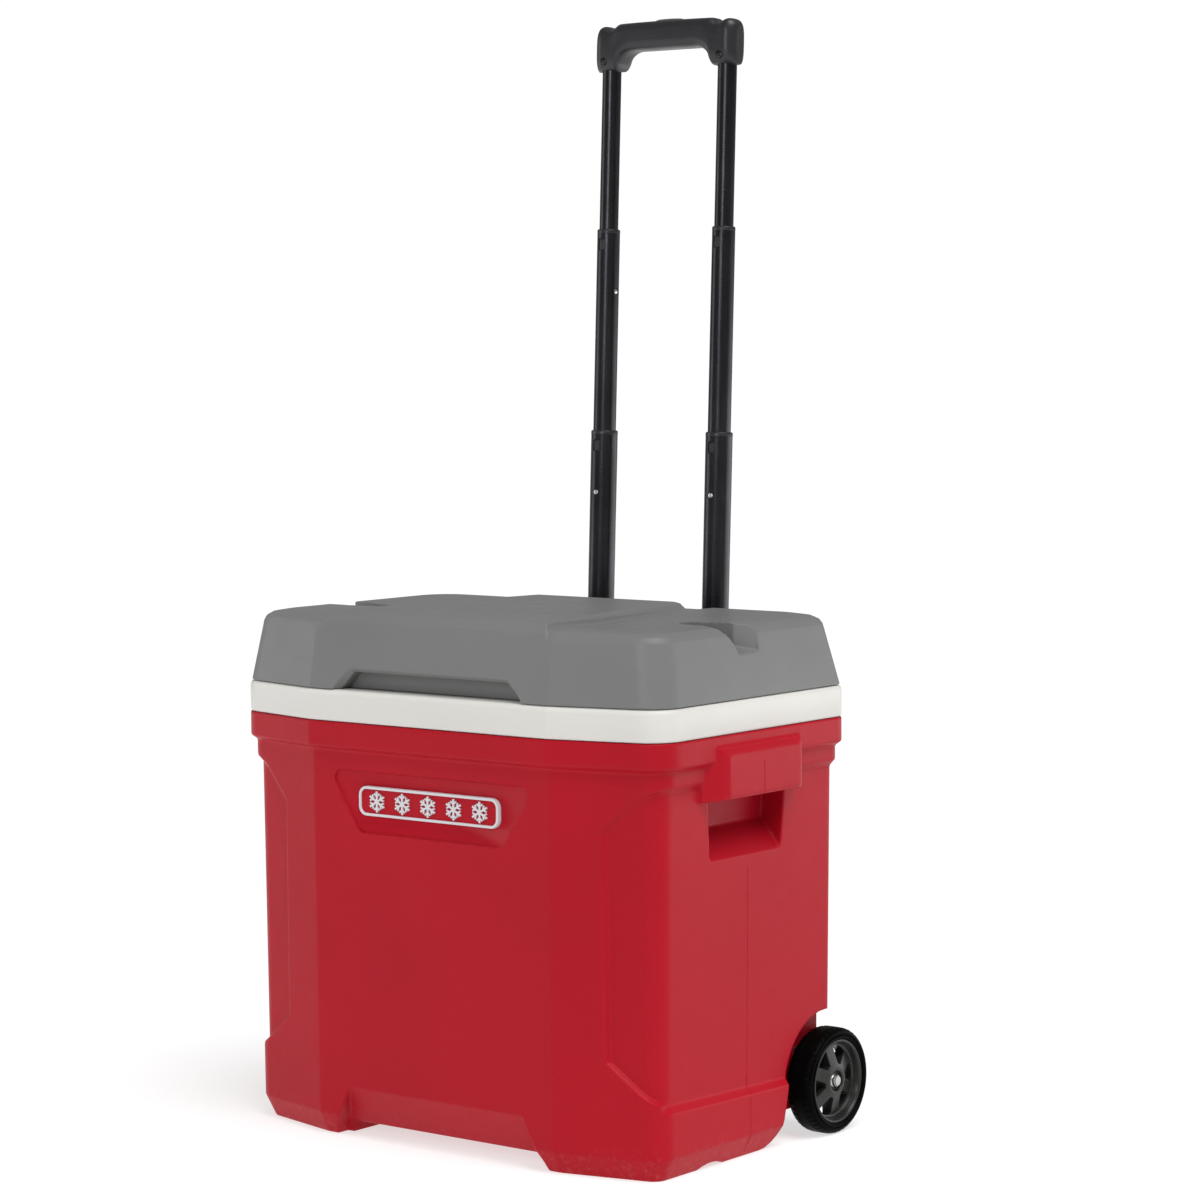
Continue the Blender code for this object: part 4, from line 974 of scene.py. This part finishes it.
for tag, side in (("right", 1), ("left", -1)):
    body = "wheel_" + tag
    tyre = wheel_ring(prof, 192, tread)
    hub = wheel_ring(hub_prof, 96)
    holes = []
    for k in range(6):
        t0 = math.radians(60 * k + 8)
        pts = [(CW[0] + rr * math.cos(t0 + dt), CW[1] + rr * math.sin(t0 + dt))
               for rr, dt in ((0.0150, -0.14), (0.0292, -0.330), (0.0299, -0.17), (0.0301, 0.0), (0.0299, 0.17),
                              (0.0292, 0.330), (0.0150, 0.14))]
        pts = rounded(pts, [0.0012, 0.0012, 0.004, 0.004, 0.004, 0.0012, 0.0012], [3] * 7)
        holes.append(prism(pts, "X", 0.2100, 0.2400))
    boolean(hub, holes)
    hub = melt(hub, 0.00040, 3, 0.30)
    if side < 0:
        old_t, old_h = tyre, hub
        tyre, hub = mirror_x(tyre), mirror_x(hub)
    finish_piece(tyre, "tyre_detail_" + tag, "tyre", body, ["wheel_tyre_" + tag], 30)
    finish_piece(hub, "hub_detail_" + tag, "hub", body, ["wheel_hub_" + tag], 40)
    # cap nut on the axle end, pressed from sheet
    cap = wheel_ring([(0.2255, 0.0043), (0.2255, 0.0058), (0.2258, 0.0060), (0.2264, 0.0059), (0.2268, 0.0053),
                      (0.2272, 0.0050), (0.2288, 0.0049), (0.2294, 0.0047), (0.2296, 0.0043)], 48)
    if side < 0:
        cap = mirror_x(cap)
    finish_piece(cap, "push_cap_detail_" + tag, "steel", "body", ["push_cap_" + tag], 30)


# --------------------------------------- small parts softened from their CAD
def softened(name, voxel, passes, ratio, mat):
    src = NODES[name]
    o = new_object(name + "_soft", src.data.copy())
    work.append(o)
    o = melt(o, voxel, passes, ratio)
    return finish_piece(o, name + "_soft", mat, src["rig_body"], [name], 45)


softened("handle_bracket", 0.0007, 3, 0.20, "black")
softened("axle_carrier", 0.0008, 3, 0.20, "black")
for tag in ("right", "left"):
    softened("hinge_body_leaf_" + tag, 0.00035, 2, 0.30, "black")
    softened("hinge_lid_leaf_" + tag, 0.00035, 2, 0.30, "black")
softened("lid_liner", 0.0010, 4, 0.12, "white")

# ----------------------------------------- screws, axle and hidden solids kept
KEEP = {"body_foam": "foam", "lid_foam": "foam", "axle": "steel", "release_yoke": "black"}
for name, o in NODES.items():
    if o.hide_render:
        continue
    key = KEEP.get(name) or ("dark_steel" if "grip_screw" in name else "steel" if ("screw" in name or "pin" in name or "cap" in name) else "black")
    if not o.material_slots:
        o.data.materials.append(M[key])
    for s in o.material_slots:
        s.material = M[key]

for o in work:
    if o.name in bpy.data.objects:
        bpy.data.objects.remove(o)

# --------------------------------------------------------------------- stage
floor_bm = bmesh.new()
bmesh.ops.create_grid(floor_bm, x_segments=8, y_segments=8, size=9.0)
me = bpy.data.meshes.new("studio_floor")
floor_bm.to_mesh(me)
floor_bm.free()
floor = new_object("studio_floor", me)
fm = bpy.data.materials.new("studio_paper")
fm.use_nodes = True
ft = fm.node_tree
fb = ft.nodes["Principled BSDF"]
fc = ft.nodes.new("ShaderNodeTexCoord")
fn = noise(ft, fc.outputs["Object"], 3.0, 2.0)
link(ft, mix_colour(ft, fn, (0.44, 0.44, 0.44), (0.46, 0.46, 0.46)), fb.inputs["Base Color"])
fb.inputs["Roughness"].default_value = 0.9
fb.inputs["Specular IOR Level"].default_value = 0.0
fb.inputs["Emission Color"].default_value = (1.0, 1.0, 1.0, 1.0)
fb.inputs["Emission Strength"].default_value = 0.62
me.materials.append(fm)

# a white background, and much less light from it than it shows
world = bpy.data.worlds.new("studio")
world.use_nodes = True
scene.world = world
wt = world.node_tree
bg = wt.nodes["Background"]
bg.inputs["Color"].default_value = (1.0, 1.0, 1.0, 1.0)
bg.inputs["Strength"].default_value = 0.28
seen = wt.nodes.new("ShaderNodeBackground")
seen.inputs["Color"].default_value = (1.0, 1.0, 1.0, 1.0)
seen.inputs["Strength"].default_value = 1.02
which = wt.nodes.new("ShaderNodeMixShader")
path = wt.nodes.new("ShaderNodeLightPath")
wt.links.new(path.outputs["Is Camera Ray"], which.inputs[0])
wt.links.new(bg.outputs[0], which.inputs[1])
wt.links.new(seen.outputs[0], which.inputs[2])
wt.links.new(which.outputs[0], wt.nodes["World Output"].inputs["Surface"])


def softbox(name, loc, target, size, radiance):
    """Rectangular soft light of a given brightness."""
    d = bpy.data.lights.new(name, "AREA")
    d.shape = "RECTANGLE"
    d.size, d.size_y = size
    d.energy = radiance * math.pi * size[0] * size[1]
    o = bpy.data.objects.new(name, d)
    scene.collection.objects.link(o)
    o.location = loc
    o.rotation_euler = (Vector(target) - Vector(loc)).to_track_quat("-Z", "Y").to_euler()
    return o


softbox("side_rear", (1.60, 2.00, 0.36), (0.1, 0, 0.22), (2.4, 0.66), 2.1)
softbox("side_left", (-2.40, -1.10, 0.90), (0, 0, 0.25), (1.1, 1.6), 1.9)
softbox("soft_front", (0.68, -2.60, 1.50), (0, 0, 0.7), (0.80, 1.10), 6.0)
sun_data = bpy.data.lights.new("key", "SUN")
sun_data.energy = 2.3
sun_data.angle = math.radians(40)
sun = bpy.data.objects.new("key", sun_data)
scene.collection.objects.link(sun)
sun.rotation_euler = Vector((-0.47, 0.11, -0.876)).to_track_quat("-Z", "Y").to_euler()

# -------------------------------------------------------------------- camera
cam_data = bpy.data.cameras.new("camera")
cam_data.sensor_width = 36.0
cam_data.sensor_fit = "HORIZONTAL"
cam_data.lens = 3538.439 / 1200.0 * 36.0
cam_data.clip_start = 0.05
cam_data.clip_end = 50.0
cam = bpy.data.objects.new("camera", cam_data)
scene.collection.objects.link(cam)
right = Vector((0.7895468, 0.6136612, -0.0059817))
up = Vector((-0.0423927, 0.0642638, 0.9970322))
back = Vector((0.6122244, -0.7869500, 0.0767525))
cam.matrix_world = Matrix(((right.x, up.x, back.x, 1.9023915), (right.y, up.y, back.y, -2.2065667 - 0.179457),
                           (right.z, up.z, back.z, 0.6881965), (0, 0, 0, 1)))
scene.camera = cam
scene.view_settings.view_transform = "Standard"
scene.view_settings.look = "None"

bpy.context.view_layer.update()
